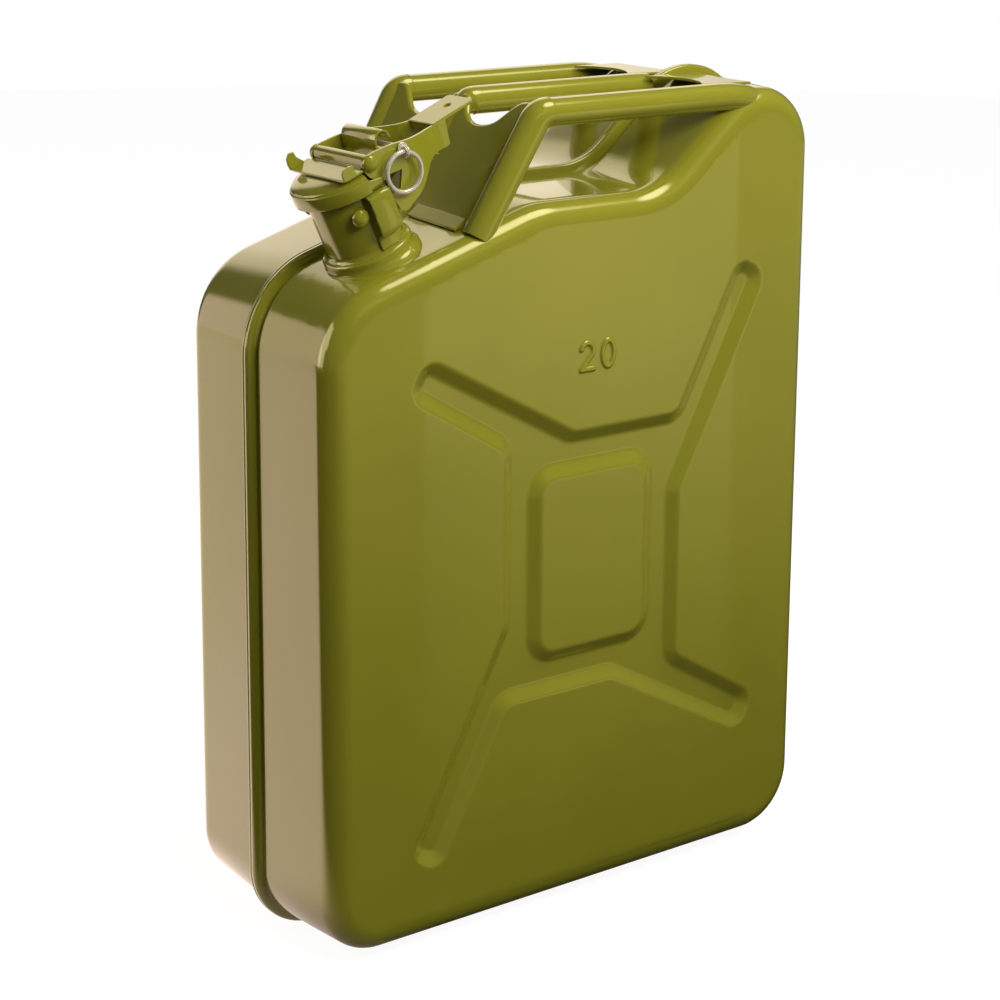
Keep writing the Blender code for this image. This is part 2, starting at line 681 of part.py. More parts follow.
def cheek(name, side):
    """Build one cheek of the lever, bent in plan."""
    bm = bmesh.new()
    first = bm.faces.new([bm.verts.new((s, 0.0, h)) for s, h in LEVER_OUTLINE])
    step_face(bm, first, CHEEK_SHEET * side, 0.0)
    for s, _ in LEVER_PLAN:
        geometry = bm.verts[:] + bm.edges[:] + bm.faces[:]
        bmesh.ops.bisect_plane(bm, geom=geometry, dist=WELD, plane_co=(s, 0, 0), plane_no=(1, 0, 0))
    for vert in bm.verts:
        vert.co.y += side * inner_face(vert.co.x)
    return add_mesh(name, bm, cutter=True, parent=neck_frame)


def inner_face(s):
    """Return the half distance between the cheeks' inner faces at s."""
    if s <= LEVER_PLAN[0][0]:
        return LEVER_PLAN[0][1]
    for (before, wide), (after, narrow) in zip(LEVER_PLAN, LEVER_PLAN[1:]):
        if s <= after:
            return wide + (narrow - wide) * (s - before) / (after - before)
    return LEVER_PLAN[-1][1]


lever = box("lever", (TAB_START, -TAB_HALF, TAB_LOW), (TAB_END, TAB_HALF, TAB_HIGH), **lever_part)
lip = box("lever_lip", (TAB_START, -TAB_HALF, TAB_LIP), (TAB_START + CHEEK_SHEET, TAB_HALF, TAB_HIGH - GAP),
          cutter=True, parent=neck_frame)
boolean(lever, lip, "UNION")
for side, side_name in ((-1.0, "near"), (1.0, "far")):
    boolean(lever, cheek("cheek_" + side_name, side), "UNION")
tab_hole = rod("tab_hole", (TAB_HOLE_S, 0, TAB_LIP), (TAB_HOLE_S, 0, CAP_TOP), TAB_HOLE_RADIUS, 16,
               cutter=True, parent=neck_frame)
boolean(lever, tab_hole)
pivot_hole = rod("pivot_hole", (PIVOT_S, -SADDLE_WING * 2, PIVOT_H), (PIVOT_S, SADDLE_WING * 2, PIVOT_H),
                 PIVOT_RADIUS + GAP, 20, cutter=True, parent=neck_frame)
boolean(lever, pivot_hole)
pin_hole = rod("pin_hole", (PIN_S, -SADDLE_WING * 2, PIN_H), (PIN_S, SADDLE_WING * 2, PIN_H),
               PIN_HOLE, 20, cutter=True, parent=neck_frame)
boolean(lever, pin_hole)
hood = strip("pin_hood", HOOD_PATH, "XZ", HOOD_NEAR, HOOD_FAR, HOOD_SHEET, **lever_part)

# Safety pin through the cheeks and the hood, with the split ring in its eye
pin_slide = pivot("pin_slide", lever_hinge, (PIN_S - PIVOT_S, 0.0, PIN_H - PIVOT_H))
ball = [(0.0, PIN_FAR)]
for index in range(1, 5):
    angle = math.pi * index / 6
    ball.append((PIN_BALL * math.sin(angle), PIN_FAR - PIN_BALL * (1.0 - math.cos(angle))))
safety_pin = turned("safety_pin", ball + [
    (PIN_RADIUS, PIN_FAR - PIN_BALL * BALL_DEPTH_SHARE), (PIN_RADIUS, PIN_NEAR + PIN_RADIUS), (PIN_FLANGE, PIN_NEAR + PIN_RADIUS),
    (PIN_FLANGE, PIN_NEAR), (0.0, PIN_NEAR)], 20, axis="Y", finish="zinc", parent=pin_slide)
ring_way = Vector((RING_S - PIN_S, RING_H - PIN_H)).normalized()
eye_reach = Vector((RING_S - PIN_S, RING_H - PIN_H)).length - RING_TURN
eye_place = Vector((ring_way.x * eye_reach, RING_T, ring_way.y * eye_reach))
eye_points = []
for index in range(EYE_STEPS):
    angle = 2 * math.pi * index / EYE_STEPS
    away = Vector((ring_way.x, 0.0, ring_way.y)) * (EYE_TURN * math.cos(angle))
    eye_points.append(eye_place + away + Vector((0.0, EYE_TURN * math.sin(angle), 0.0)))
eye = swept("pin_eye", eye_points, EYE_WIRE, closed=True, cutter=True, parent=pin_slide)
boolean(safety_pin, eye, "UNION")
ring_hinge = pivot("ring_hinge", pin_slide, eye_place)
ring_points = []
for index in range(RING_STEPS):
    angle = 2 * math.pi * index / RING_STEPS
    across = Vector((-ring_way.y, 0.0, ring_way.x)) * math.sin(angle)
    away = Vector((ring_way.x, 0.0, ring_way.y)) * (1.0 - math.cos(angle))
    ring_points.append((across + away) * RING_TURN)
swept("split_ring", ring_points, RING_WIRE, closed=True, finish="zinc", parent=ring_hinge)

# Rear hinge of the cap: bracket on the neck, pin and the cap's arm
bracket = box("hinge_bracket", (LUG_BASE[0], -LUG_OUTER, LUG_BASE_HEIGHTS[0]),
              (LUG_BASE[1], LUG_OUTER, LUG_BASE_HEIGHTS[1]), **neck)
for side in (-1.0, 1.0):
    lug = stack("hinge_lug", LUG_OUTLINE, [(side * LUG_INNER, 0.0), (side * (LUG_OUTER - WELD), 0.0)],
                cutter=True, parent=neck_frame)
    boolean(bracket, lug, "UNION")
hinge_bore = rod("hinge_bore", (HINGE_S, -SADDLE_WING, HINGE_H), (HINGE_S, SADDLE_WING, HINGE_H),
                 HINGE_RADIUS + GAP, 16, cutter=True, parent=neck_frame)
boolean(bracket, hinge_bore)
rod("hinge_pin", (HINGE_S, -HINGE_HALF, HINGE_H), (HINGE_S, HINGE_HALF, HINGE_H), HINGE_RADIUS, 16,
    finish="zinc", **neck)
arm = stack("cap_arm", ARM_OUTLINE, [(-ARM_HALF, 0.0), (ARM_HALF, 0.0)], **cap_part)
boolean(arm, hinge_bore)

# Keepers and studs on both sides of the neck
for side, side_name in ((-1.0, "near"), (1.0, "far")):
    path = [(side * across, height) for across, height in KEEPER_PATH]
    strip("keeper_" + side_name, path, "YZ", KEEPER_FRONT, KEEPER_REAR, KEEPER_SHEET, **neck)
    face = side * STUD_FACE
    profile = [(0.0, side * STUD_START), (STUD_SHANK, side * STUD_START), (STUD_SHANK, face)]
    profile += dome(face, STUD_HEAD, STUD_RISE, side)
    if side > 0:
        profile.reverse()
    turned("keeper_stud_" + side_name, profile, 16, axis="Y", parent=neck_frame, offset=(STUD_S, 0.0, STUD_H))

# Handle: front plate with its legs, three bars and the rear webs
top = Vector((BAR_FRONT, BAR_SPACING, BAR_HEIGHT))
down = (Vector(LEG_FOOT) - top).normalized()
slope_up = Vector((-down.x, 0.0, -down.z)).normalized()
plate_out = Vector((-slope_up.z, 0.0, slope_up.x))
mitre = (Vector((1.0, 0.0, 0.0)) - down).normalized()
plate_place = Vector((LEG_FOOT[0], 0.0, LEG_FOOT[2])) + plate_out * PLATE_RISE
bm = bmesh.new()
leg_length = (top - Vector(LEG_FOOT)).length
edge = [(across * BAR_SPACING, up * leg_length) for across, up in PLATE_SHARES]
edge = [(-across, up) for across, up in edge] + edge[::-1]
first = bm.faces.new([bm.verts.new((across, 0.0, up)) for across, up in edge])
step_face(bm, first, PLATE_SHEET, 0.0)
for vert in bm.verts:
    vert.co = plate_place + slope_up * vert.co.z + plate_out * vert.co.y + Vector((0.0, vert.co.x, 0.0))
front = add_mesh("handle_front", bm)
for side, side_name in ((-1.0, "near"), (1.0, "far")):
    mirror = Vector((1.0, side, 1.0))
    leg = rod("leg_" + side_name, (top - down * BAR_RADIUS * 2) * mirror,
              (Vector(LEG_FOOT) + down * BAR_RADIUS) * mirror, BAR_RADIUS, 20, cutter=True)
    core = rod("leg_core_" + side_name, (top - down * BAR_RADIUS * 3) * mirror,
               (Vector(LEG_FOOT) + down * BAR_RADIUS * 2) * mirror, BAR_RADIUS - BAR_WALL, 20, cutter=True)
    beyond = half_space("leg_end_" + side_name, (top + down * GAP / 2) * mirror, mitre * mirror)
    boolean(leg, beyond)
    boolean(front, leg, "UNION")
    boolean(front, core)
    bar = rod("bar_" + side_name, (top - Vector((BAR_RADIUS * 2, 0.0, 0.0))) * mirror,
              (BAR_REAR, side * BAR_SPACING, BAR_HEIGHT), BAR_RADIUS, 20, capped=False)
    thicken(bar, BAR_WALL, -1.0)
    before = half_space("bar_end_" + side_name, (top - down * GAP / 2) * mirror, -mitre * mirror)
    boolean(bar, before)
    boolean(bar, envelope)
boolean(front, envelope)
middle = rod("bar_middle", (MIDDLE_BAR_FRONT, 0.0, BAR_HEIGHT), (MIDDLE_BAR_REAR, 0.0, BAR_HEIGHT),
             BAR_RADIUS, 20, capped=False)
thicken(middle, BAR_WALL, -1.0)
boolean(middle, envelope)
for side, side_name in ((-1.0, "near"), (1.0, "far")):
    web = box("rear_web_" + side_name, (WEB_FRONT, side * WEB_INNER, WEB_LOW),
              (BAR_REAR, side * WEB_OUTER, WEB_HIGH))
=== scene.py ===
"""A pressed steel fuel can with a lever-locked cap and a triple handle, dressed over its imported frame."""
import math

import bmesh
import bpy
import numpy as np
from mathutils import Matrix, Vector
from mathutils.geometry import interpolate_bezier


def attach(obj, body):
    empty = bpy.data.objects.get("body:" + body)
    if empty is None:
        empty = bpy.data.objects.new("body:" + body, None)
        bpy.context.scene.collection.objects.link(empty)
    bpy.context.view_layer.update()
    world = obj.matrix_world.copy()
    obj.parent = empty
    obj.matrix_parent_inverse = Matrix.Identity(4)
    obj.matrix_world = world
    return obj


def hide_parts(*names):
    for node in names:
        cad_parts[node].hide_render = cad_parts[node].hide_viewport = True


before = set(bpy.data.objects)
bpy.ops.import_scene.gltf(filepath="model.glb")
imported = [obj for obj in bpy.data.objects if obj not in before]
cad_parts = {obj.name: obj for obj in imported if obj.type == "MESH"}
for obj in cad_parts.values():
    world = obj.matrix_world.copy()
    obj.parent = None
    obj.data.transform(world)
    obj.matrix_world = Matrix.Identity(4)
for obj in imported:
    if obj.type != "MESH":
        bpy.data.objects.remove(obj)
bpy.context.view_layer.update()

# The camera stands to the left of the near broad face, a little above the handle, with a long
# lens. Its shift keeps the upright edges of the can as nearly parallel as the photograph has them.
CAMERA_PLACE = (-0.83128, -1.09128, 0.62743)
CAMERA_RIGHT = (0.79811, -0.60247, 0.00667)
CAMERA_UP = (0.11962, 0.16930, 0.97828)
SENSOR_WIDTH = 36.0
LENS = 87.79
LENS_SHIFT = (-0.0009, -0.188)
camera_data = bpy.data.cameras.new("camera")
camera_data.sensor_width = SENSOR_WIDTH
camera_data.lens = LENS
camera_data.shift_x, camera_data.shift_y = LENS_SHIFT
camera = bpy.data.objects.new("camera", camera_data)
camera_right = Vector(CAMERA_RIGHT).normalized()
camera_back = camera_right.cross(Vector(CAMERA_UP)).normalized()
camera_turn = Matrix((camera_right, camera_back.cross(camera_right), camera_back)).transposed()
camera.matrix_world = Matrix.Translation(CAMERA_PLACE) @ camera_turn.to_4x4()
bpy.context.scene.collection.objects.link(camera)
bpy.context.scene.camera = camera

# The finish is one coat of glossy olive enamel, sprayed over all but the safety pin, its ring, the
# hinge pin and the seal. It lies with a faint orange peel, pools a little in tone and has the
# hairlines of a wiped can.
ENAMEL = (0.240, 0.225, 0.016)
ENAMEL_DEEP = (0.215, 0.204, 0.013)
POOL_EDGES = (0.35, 0.65)
HAIR_SIZE = 60.0
HAIR_STRETCH = (1.0, 1.0, 0.06)
HAIR_EDGES = (0.30, 0.75)
SCRATCH_EDGES = (0.62, 0.70)
SCRATCH_RISE = 0.05
BUMP_REACH = 0.0002
COAT_ROUGHNESS = 0.03
COAT_IOR = 1.6


def wear_group():
    """Make the node group that all the finishes share: tone, haze and peel."""
    group = bpy.data.node_groups.new("sprayed_surface", "ShaderNodeTree")
    for label, way, kind in (
            ("Light", "INPUT", "Color"), ("Deep", "INPUT", "Color"),
            ("Pool Size", "INPUT", "Float"), ("Peel Size", "INPUT", "Float"),
            ("Least Haze", "INPUT", "Float"), ("Most Haze", "INPUT", "Float"),
            ("Color", "OUTPUT", "Color"), ("Roughness", "OUTPUT", "Float"), ("Height", "OUTPUT", "Float")):
        group.interface.new_socket(label, in_out=way, socket_type="NodeSocket" + kind)
    nodes, links = group.nodes, group.links
    given = nodes.new("NodeGroupInput")
    made = nodes.new("NodeGroupOutput")
    place = nodes.new("ShaderNodeTexCoord")

    def noise(size, detail, stretch=None):
        item = nodes.new("ShaderNodeTexNoise")
        item.inputs["Detail"].default_value = detail
        if isinstance(size, float):
            item.inputs["Scale"].default_value = size
        else:
            links.new(size, item.inputs["Scale"])
        source = place.outputs["Object"]
        if stretch:
            mapping = nodes.new("ShaderNodeMapping")
            mapping.inputs["Scale"].default_value = stretch
            links.new(source, mapping.inputs["Vector"])
            source = mapping.outputs["Vector"]
        links.new(source, item.inputs["Vector"])
        return item.outputs["Fac"]

    def ramp(value, low, high, to_low=0.0, to_high=1.0):
        item = nodes.new("ShaderNodeMapRange")
        item.inputs["From Min"].default_value = low
        item.inputs["From Max"].default_value = high
        for socket, end in (("To Min", to_low), ("To Max", to_high)):
            if isinstance(end, float):
                item.inputs[socket].default_value = end
            else:
                links.new(end, item.inputs[socket])
        links.new(value, item.inputs["Value"])
        return item.outputs["Result"]

    mix = nodes.new("ShaderNodeMix")
    mix.data_type = "RGBA"
    links.new(ramp(noise(given.outputs["Pool Size"], detail=3.0), *POOL_EDGES), mix.inputs["Factor"])
    links.new(given.outputs["Light"], mix.inputs["A"])
    links.new(given.outputs["Deep"], mix.inputs["B"])
    links.new(mix.outputs["Result"], made.inputs["Color"])
    hairs = noise(HAIR_SIZE, detail=6.0, stretch=HAIR_STRETCH)
    haze = ramp(hairs, *HAIR_EDGES, given.outputs["Least Haze"], given.outputs["Most Haze"])
    links.new(haze, made.inputs["Roughness"])
    add = nodes.new("ShaderNodeMath")
    add.operation = "ADD"
    links.new(noise(given.outputs["Peel Size"], detail=2.0), add.inputs[0])
    links.new(ramp(hairs, *SCRATCH_EDGES, to_high=SCRATCH_RISE), add.inputs[1])
    links.new(add.outputs["Value"], made.inputs["Height"])
    return group


surface_group = wear_group()


def finish(name, light, deep, pool, peel, haze, bump, metallic=0.0, coat=0.0):
    """Make a material on the shared surface group; haze is (least, most) roughness."""
    material = bpy.data.materials.new(name)
    material.use_nodes = True
    nodes, links = material.node_tree.nodes, material.node_tree.links
    shader = nodes["Principled BSDF"]
    group = nodes.new("ShaderNodeGroup")
    group.node_tree = surface_group
    group.inputs["Light"].default_value = (*light, 1.0)
    group.inputs["Deep"].default_value = (*deep, 1.0)
    group.inputs["Pool Size"].default_value = pool
    group.inputs["Peel Size"].default_value = peel
    group.inputs["Least Haze"].default_value = haze[0]
    group.inputs["Most Haze"].default_value = haze[1]
    links.new(group.outputs["Color"], shader.inputs["Base Color"])
    links.new(group.outputs["Roughness"], shader.inputs["Roughness"])
    lift = nodes.new("ShaderNodeBump")
    lift.inputs["Strength"].default_value = bump
    lift.inputs["Distance"].default_value = BUMP_REACH
    links.new(group.outputs["Height"], lift.inputs["Height"])
    links.new(lift.outputs["Normal"], shader.inputs["Normal"])
    shader.inputs["Metallic"].default_value = metallic
    if coat:
        shader.inputs["Coat Weight"].default_value = coat
        shader.inputs["Coat Roughness"].default_value = COAT_ROUGHNESS
        shader.inputs["Coat IOR"].default_value = COAT_IOR
    return material


enamel = finish("olive_enamel", ENAMEL, ENAMEL_DEEP, pool=7.0, peel=420.0, haze=(0.15, 0.20), bump=0.04,
                metallic=0.30, coat=1.0)

# The body is two pressings of thin steel sheet, open towards each other and welded along a proud
# bead round the middle. Each broad face has a pressed cross with a flat panel left in its middle,
# and bends back slightly beyond the cross. The near face has its size in litres pressed outwards.
SHEET = 0.0009
FACE = 0.073
FACE_ROUND = 0.013
ROUND_STEPS = 10
FACE_BEND = 0.110
BEND_START = 0.045
BEND_SLOPE = 0.022
SUPPORT = 0.003
DRAFT = 0.05
BODY_CORNERS = (
    (-0.1725, 0.005, 0.036), (-0.1725, 0.372, 0.052), (-0.0320, 0.4155, 0.060), (0.0554, 0.4155, 0.050),
    (0.1132, 0.4675, 0.045), (0.1725, 0.4675, 0.040), (0.1725, 0.005, 0.040))
BEAD = (
    (0.00015, -0.0042), (0.0016, -0.0042), (0.0024, -0.0039), (0.0029, -0.0033), (0.0032, -0.0022),
    (0.0034, -0.0002), (0.0036, 0.0018), (0.0042, 0.0028), (0.0050, 0.0028), (0.0057, 0.0020),
    (0.0064, 0.0009), (0.0073, 0.0004))
CROSS_CENTRE = Vector((0.00645, 0.2077))
CROSS_DEPTH = 0.0042
CROSS_RUN = 0.0092
CROSS_LEAD = 0.0008
CROSS_BENDS = ((-0.0635, 0.0710), (-0.0145, 0.0754), (0.0605, 0.0754), (0.0635, 0.0290))
CROSS_BEND_ROUND = 0.009
FRONT_ARM = ((-0.1105, 0.114), math.radians(150.0))
REAR_ARM = ((0.1105, 0.145), math.radians(61.7))
ARM_HALF = 0.0123
ARM_ROUND = 0.0106
PANEL_HALF = (0.037, 0.050)
PANEL_ROUND = 0.010
DIGIT_PLACE = ((-0.0060, 0.3151), (0.0090, 0.3151))
DIGIT_ZONE = ((-0.009, 0.309), (0.025, 0.341))
DIGIT_RELIEF = 0.0010
DIGIT_STROKE = 0.0020
DIGIT_RUN = 0.0015
DIGIT_SOFT_SHARE = 0.45
TWO_BOW, TWO_RADIUS = (0.0056, 0.0126), 0.0043
TWO_FOOT = ((0.0014, 0.0020), (0.0103, 0.0020))
NOUGHT_MIDDLE, NOUGHT_RADII = (0.0056, 0.0095), (0.0041, 0.0074)
FINE_ARC = math.radians(5.0)
COARSE_ARC = math.radians(12.0)
SLICE = 0.005
SLICE_START = 0.010
SLICES_ALONG, SLICES_UP = range(-34, 35), range(94)
LEAST_MITRE = 0.4
WALL_MARGIN = (0.0042, 0.0024)
WALL_CUTS = 4
DIGIT_CUTS = 12
CLOSE = 1e-6


def rounded(corners, step=FINE_ARC):
    """Round each (x, z, radius) corner of a closed outline with an arc."""
    points = []
    for index, (x, z, radius) in enumerate(corners):
        here = Vector((x, z))
        before = (Vector(corners[index - 1][:2]) - here).normalized()
        after = (Vector(corners[(index + 1) % len(corners)][:2]) - here).normalized()
        turn = math.pi - before.angle(after)
        start = here + before * (radius * math.tan(turn / 2))
        centre = here + (before + after).normalized() * (radius / math.cos(turn / 2))
        side = 1.0 if before.cross(after) < 0 else -1.0
        pieces = max(1, math.ceil(turn / step))
        for piece in range(pieces + 1):
            points.append(centre + Matrix.Rotation(side * turn * piece / pieces, 2) @ (start - centre))
    return points


def supported(points):
    """Add a point close to both ends of each long side of a closed outline, so that it shades flat."""
    chain = []
    for here, after in zip(points, points[1:] + points[:1]):
        chain.append(here)
        way = (after - here).normalized() * SUPPORT
        if (after - here).length > SUPPORT * 6:
            chain += [here + way, after - way]
    return chain


def step_face(bm, face, y, inset):
    """Extrude an XZ face to the plane at y and draw its edge in evenly."""
    result = bmesh.ops.extrude_face_region(bm, geom=[face], use_keep_orig=True)
    new = next(part for part in result["geom"] if isinstance(part, bmesh.types.BMFace))
    spots = [Vector((loop.vert.co.x, loop.vert.co.z)) for loop in new.loops]
    area = sum(a.cross(b) for a, b in zip(spots, spots[1:] + spots[:1]))
    side = 1.0 if area > 0 else -1.0
    for index, loop in enumerate(new.loops):
        ahead = (spots[(index + 1) % len(spots)] - spots[index]).normalized()
        behind = (spots[index] - spots[index - 1]).normalized()
        inward = Vector((-ahead.y - behind.y, ahead.x + behind.x)) * side
        spot = spots[index] + inward * (inset / max(LEAST_MITRE, 1.0 + ahead.dot(behind)))
        loop.vert.co = (spot.x, y, spot.y)
    return new


def stacked(points, levels, keep_first=True):
    """Build a shell on an XZ outline from (y, inset) levels, and return it with its last face."""
    bm = bmesh.new()
    start, drawn = levels[0]
    face = bm.faces.new([bm.verts.new((point[0], start, point[1])) for point in points])
    if drawn:
        base = face
        face = step_face(bm, base, start, drawn)
        bmesh.ops.delete(bm, geom=[item for item in bm.faces if item is not face], context="FACES")
    first = face
    for y, inset in levels[1:]:
        new = step_face(bm, face, y, inset - drawn)
        if face is not first:
            bmesh.ops.delete(bm, geom=[face], context="FACES_ONLY")
        face = new
        drawn = inset
    if not keep_first:
        bmesh.ops.delete(bm, geom=[first], context="FACES_ONLY")
    return bm, face


def inside(points, outline):
    """Return how far inside a closed outline each point of an array lies."""
    starts = np.array([tuple(point) for point in outline])
    ends = np.roll(starts, -1, axis=0)
    along = ends - starts
    offset = points[:, None, :] - starts[None]
    share = np.clip((offset * along).sum(2) / (along * along).sum(1), 0.0, 1.0)
    reach = np.linalg.norm(offset - share[..., None] * along, axis=2).min(1)
    above = starts[None, :, 1] > points[:, None, 1]
    crossing = above != (ends[None, :, 1] > points[:, None, 1])
    rise = np.where(along[:, 1] == 0, 1.0, along[:, 1])
    meet = starts[:, 0] + (points[:, None, 1] - starts[:, 1]) / rise * along[:, 0]
    odd = (crossing & (points[:, None, 0] < meet)).sum(1) % 2
    return np.where(odd == 1, reach, -reach)


def eased(values, run, soft=0.2):
    """Ease values from 0 at 0 to 1 at run, straight but for a soft share at each end."""
    share = np.clip(values / run, 0.0, 1.0)
    ends = np.minimum(share, 1.0 - share)
    low = np.where(ends < soft, ends * ends / (2 * soft * (1 - soft)), (ends - soft / 2) / (1 - soft))
    return np.where(share > 0.5, 1.0 - low, low)


def arm_end(tip, turn):
    """Return the two corners that end an arm of the pressed cross."""
    along = Vector((math.cos(turn), math.sin(turn))) * ARM_HALF
    across = Vector((-along.y, along.x))
    return [(*(Vector(tip) + along + across * side), ARM_ROUND) for side in (1.0, -1.0)]


def cross_outline():
    """Return the edge of the pressed cross: its upper half, and the same turned half round."""
    front, top_front, top_rear, rear = [(*spot, CROSS_BEND_ROUND) for spot in CROSS_BENDS]
    half = [front, *arm_end(*FRONT_ARM), top_front, top_rear, *arm_end(*REAR_ARM), rear]
    whole = half + [(-x, -z, radius) for x, z, radius in half]
    return [point + CROSS_CENTRE for point in rounded(whole, COARSE_ARC)]


def panel_outline():
    """Return the edge of the flat panel in the middle of the cross."""
    wide, high = PANEL_HALF
    corners = [(x * wide, z * high, PANEL_ROUND) for x, z in ((-1, -1), (-1, 1), (1, 1), (1, -1))]
    return [point + CROSS_CENTRE for point in rounded(corners, COARSE_ARC)]


def bow(place, middle, radii, degrees):
    """Return points on an upright oval at some degrees, with its middle set off from a place."""
    points = []
    for turn in degrees:
        angle = math.radians(turn)
        points.append((place[0] + middle[0] + radii[0] * math.cos(angle),
                       place[1] + middle[1] + radii[1] * math.sin(angle)))
    return points


def digit_strokes():
    """Return the middle lines of the two pressed digits."""
    two_place, nought_place = DIGIT_PLACE
    two = bow(two_place, TWO_BOW, (TWO_RADIUS, TWO_RADIUS), range(165, -45, -15))
    two += [(two_place[0] + across, two_place[1] + up) for across, up in TWO_FOOT]
    return [two, bow(nought_place, NOUGHT_MIDDLE, NOUGHT_RADII, range(0, 361, 15))]


def stroke_reach(points, line):
    """Return the distance of each point from an open line."""
    starts, ends = np.array(line[:-1]), np.array(line[1:])
    along = ends - starts
    offset = points[:, None, :] - starts[None]
    share = np.clip((offset * along).sum(2) / (along * along).sum(1), 0.0, 1.0)
    return np.linalg.norm(offset - share[..., None] * along, axis=2).min(1)


def pressed(points, near):
    """Return how far the press drives the broad face in at each (x, z) point."""
    groove = eased(inside(points, cross_outline()) + CROSS_LEAD, CROSS_RUN)
    panel = eased(-inside(points, panel_outline()) + CROSS_LEAD, CROSS_RUN)
    depth = CROSS_DEPTH * groove * panel
    if near:
        for line in digit_strokes():
            reach = DIGIT_STROKE - stroke_reach(points, line)
            depth = depth - DIGIT_RELIEF * eased(reach, DIGIT_RUN, DIGIT_SOFT_SHARE)
    return depth


def with_rims(faces):
    """Return faces with their edges and corners, as the cutting operators want them."""
    return list(set(faces) | {e for f in faces for e in f.edges} | {v for f in faces for v in f.verts})


def sliced(bm, faces, axis, spots):
    """Cut faces by planes across an axis, from the lowest to the highest, and return all of them."""
    done, rest = [], list(faces)
    normal = Vector((0.0, 0.0, 0.0))
    normal[axis] = 1.0
    for spot in spots:
        cut = bmesh.ops.bisect_plane(
            bm, geom=with_rims(rest), dist=CLOSE, plane_co=normal * spot, plane_no=normal)
        pieces = [item for item in cut["geom"] if isinstance(item, bmesh.types.BMFace)]
        done += [item for item in pieces if item.calc_center_median()[axis] <= spot]
        rest = [item for item in pieces if item.calc_center_median()[axis] > spot]
    return done + rest


def refine(bm, faces, wanted, cuts):
    """Divide the faces that the test wants, with their edges cut evenly."""
    chosen = [item for item, want in zip(faces, wanted) if want]
    edges = list({edge for item in chosen for edge in item.edges})
    bmesh.ops.subdivide_edges(bm, edges=edges, cuts=cuts, use_grid_fill=True)


def on_level(bm, level):
    """Return the faces that lie wholly on the plane at y = level, and their (x, z) middles."""
    faces = [item for item in bm.faces if all(abs(vert.co.y - level) < CLOSE for vert in item.verts)]
    return faces, np.array([(item.calc_center_median().x, item.calc_center_median().z) for item in faces])


def broad_face(bm, face, side):
    """Slice a broad face finely where the press shapes it, and press it."""
    near = side < 0
    level = face.calc_center_median().y
    strips = sliced(bm, [face], 0, [spot * SLICE for spot in SLICES_ALONG])
    sliced(bm, strips, 2, [SLICE_START + spot * SLICE for spot in SLICES_UP])
    flat, middles = on_level(bm, level)
    before, beyond = WALL_MARGIN
    edge = inside(middles, cross_outline())
    panel = -inside(middles, panel_outline())
    wall = (edge > -before) & (edge < CROSS_RUN + beyond)
    wall = wall | ((panel > -before) & (panel < CROSS_RUN + beyond))
    refine(bm, flat, wall, WALL_CUTS)
    if near:
        flat, middles = on_level(bm, level)
        low, high = DIGIT_ZONE
        refine(bm, flat, ((middles > low) & (middles < high)).all(1), DIGIT_CUTS)
    verts = [vert for vert in bm.verts if abs(vert.co.y - level) < CLOSE]
    spots = np.array([(vert.co.x, vert.co.z) for vert in verts])
    for vert, depth in zip(verts, pressed(spots, near)):
        vert.co.y -= side * depth


CREASE = math.radians(38.0)


def make_piece(name, bm, body, nodes, material, place=None):
    """Turn a bmesh into a finished piece: placed, smoothed between its creases, riding on its body."""
    if place is not None:
        bmesh.ops.transform(bm, matrix=place, verts=bm.verts)
    bmesh.ops.recalc_face_normals(bm, faces=bm.faces)
    mesh = bpy.data.meshes.new(name)
    bm.to_mesh(mesh)
    bm.free()
    mesh.shade_smooth()
    mesh.set_sharp_from_angle(angle=CREASE)
    mesh.materials.append(material)
    item = bpy.data.objects.new(name, mesh)
    bpy.context.scene.collection.objects.link(item)
    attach(item, body)
    if nodes:
        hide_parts(*nodes)
    return item


def sheet_wall(item, thickness, offset=-1.0):
    """Give a piece's open skin its sheet thickness."""
    wall = item.modifiers.new("sheet", "SOLIDIFY")
    wall.thickness = thickness
    wall.offset = offset
    wall.use_even_offset = True


NECK_ROOT = (-0.1171, -0.032, 0.388602)
NECK_TILT = math.radians(24.0)
NECK_FRAME = Matrix.Translation(NECK_ROOT) @ Matrix.Rotation(-NECK_TILT, 4, "Y")
NECK_RADIUS = 0.0215
HOLE_SIDES = 32
HOLE_ZONE = 0.07
HOLE_FACING = 0.5
HOLE_DEPTH = 0.02
HOLE_MARGIN = 0.0003


def open_for_neck(bm):
    """Cut the round opening under the filler neck into the near pressing."""
    turn = NECK_FRAME.to_3x3()
    axis = turn @ Vector((0.0, 0.0, 1.0))
    middle = NECK_FRAME.translation
    for index in range(HOLE_SIDES):
        angle = 2 * math.pi * index / HOLE_SIDES
        outward = turn @ Vector((math.cos(angle), math.sin(angle), 0.0))
        upper = [item for item in bm.faces if item.normal.dot(axis) > HOLE_FACING]
        near = [item for item in upper if (item.calc_center_median() - middle).length < HOLE_ZONE]
        bmesh.ops.bisect_plane(
            bm, geom=with_rims(near), dist=CLOSE, plane_co=middle + outward * NECK_RADIUS, plane_no=outward)
    hole = []
    for item in bm.faces:
        gap = item.calc_center_median() - middle
        reach = (gap - axis * gap.dot(axis)).length
        if abs(gap.dot(axis)) < HOLE_DEPTH and reach < NECK_RADIUS - HOLE_MARGIN:
            hole.append(item)
    bmesh.ops.delete(bm, geom=hole, context="FACES")


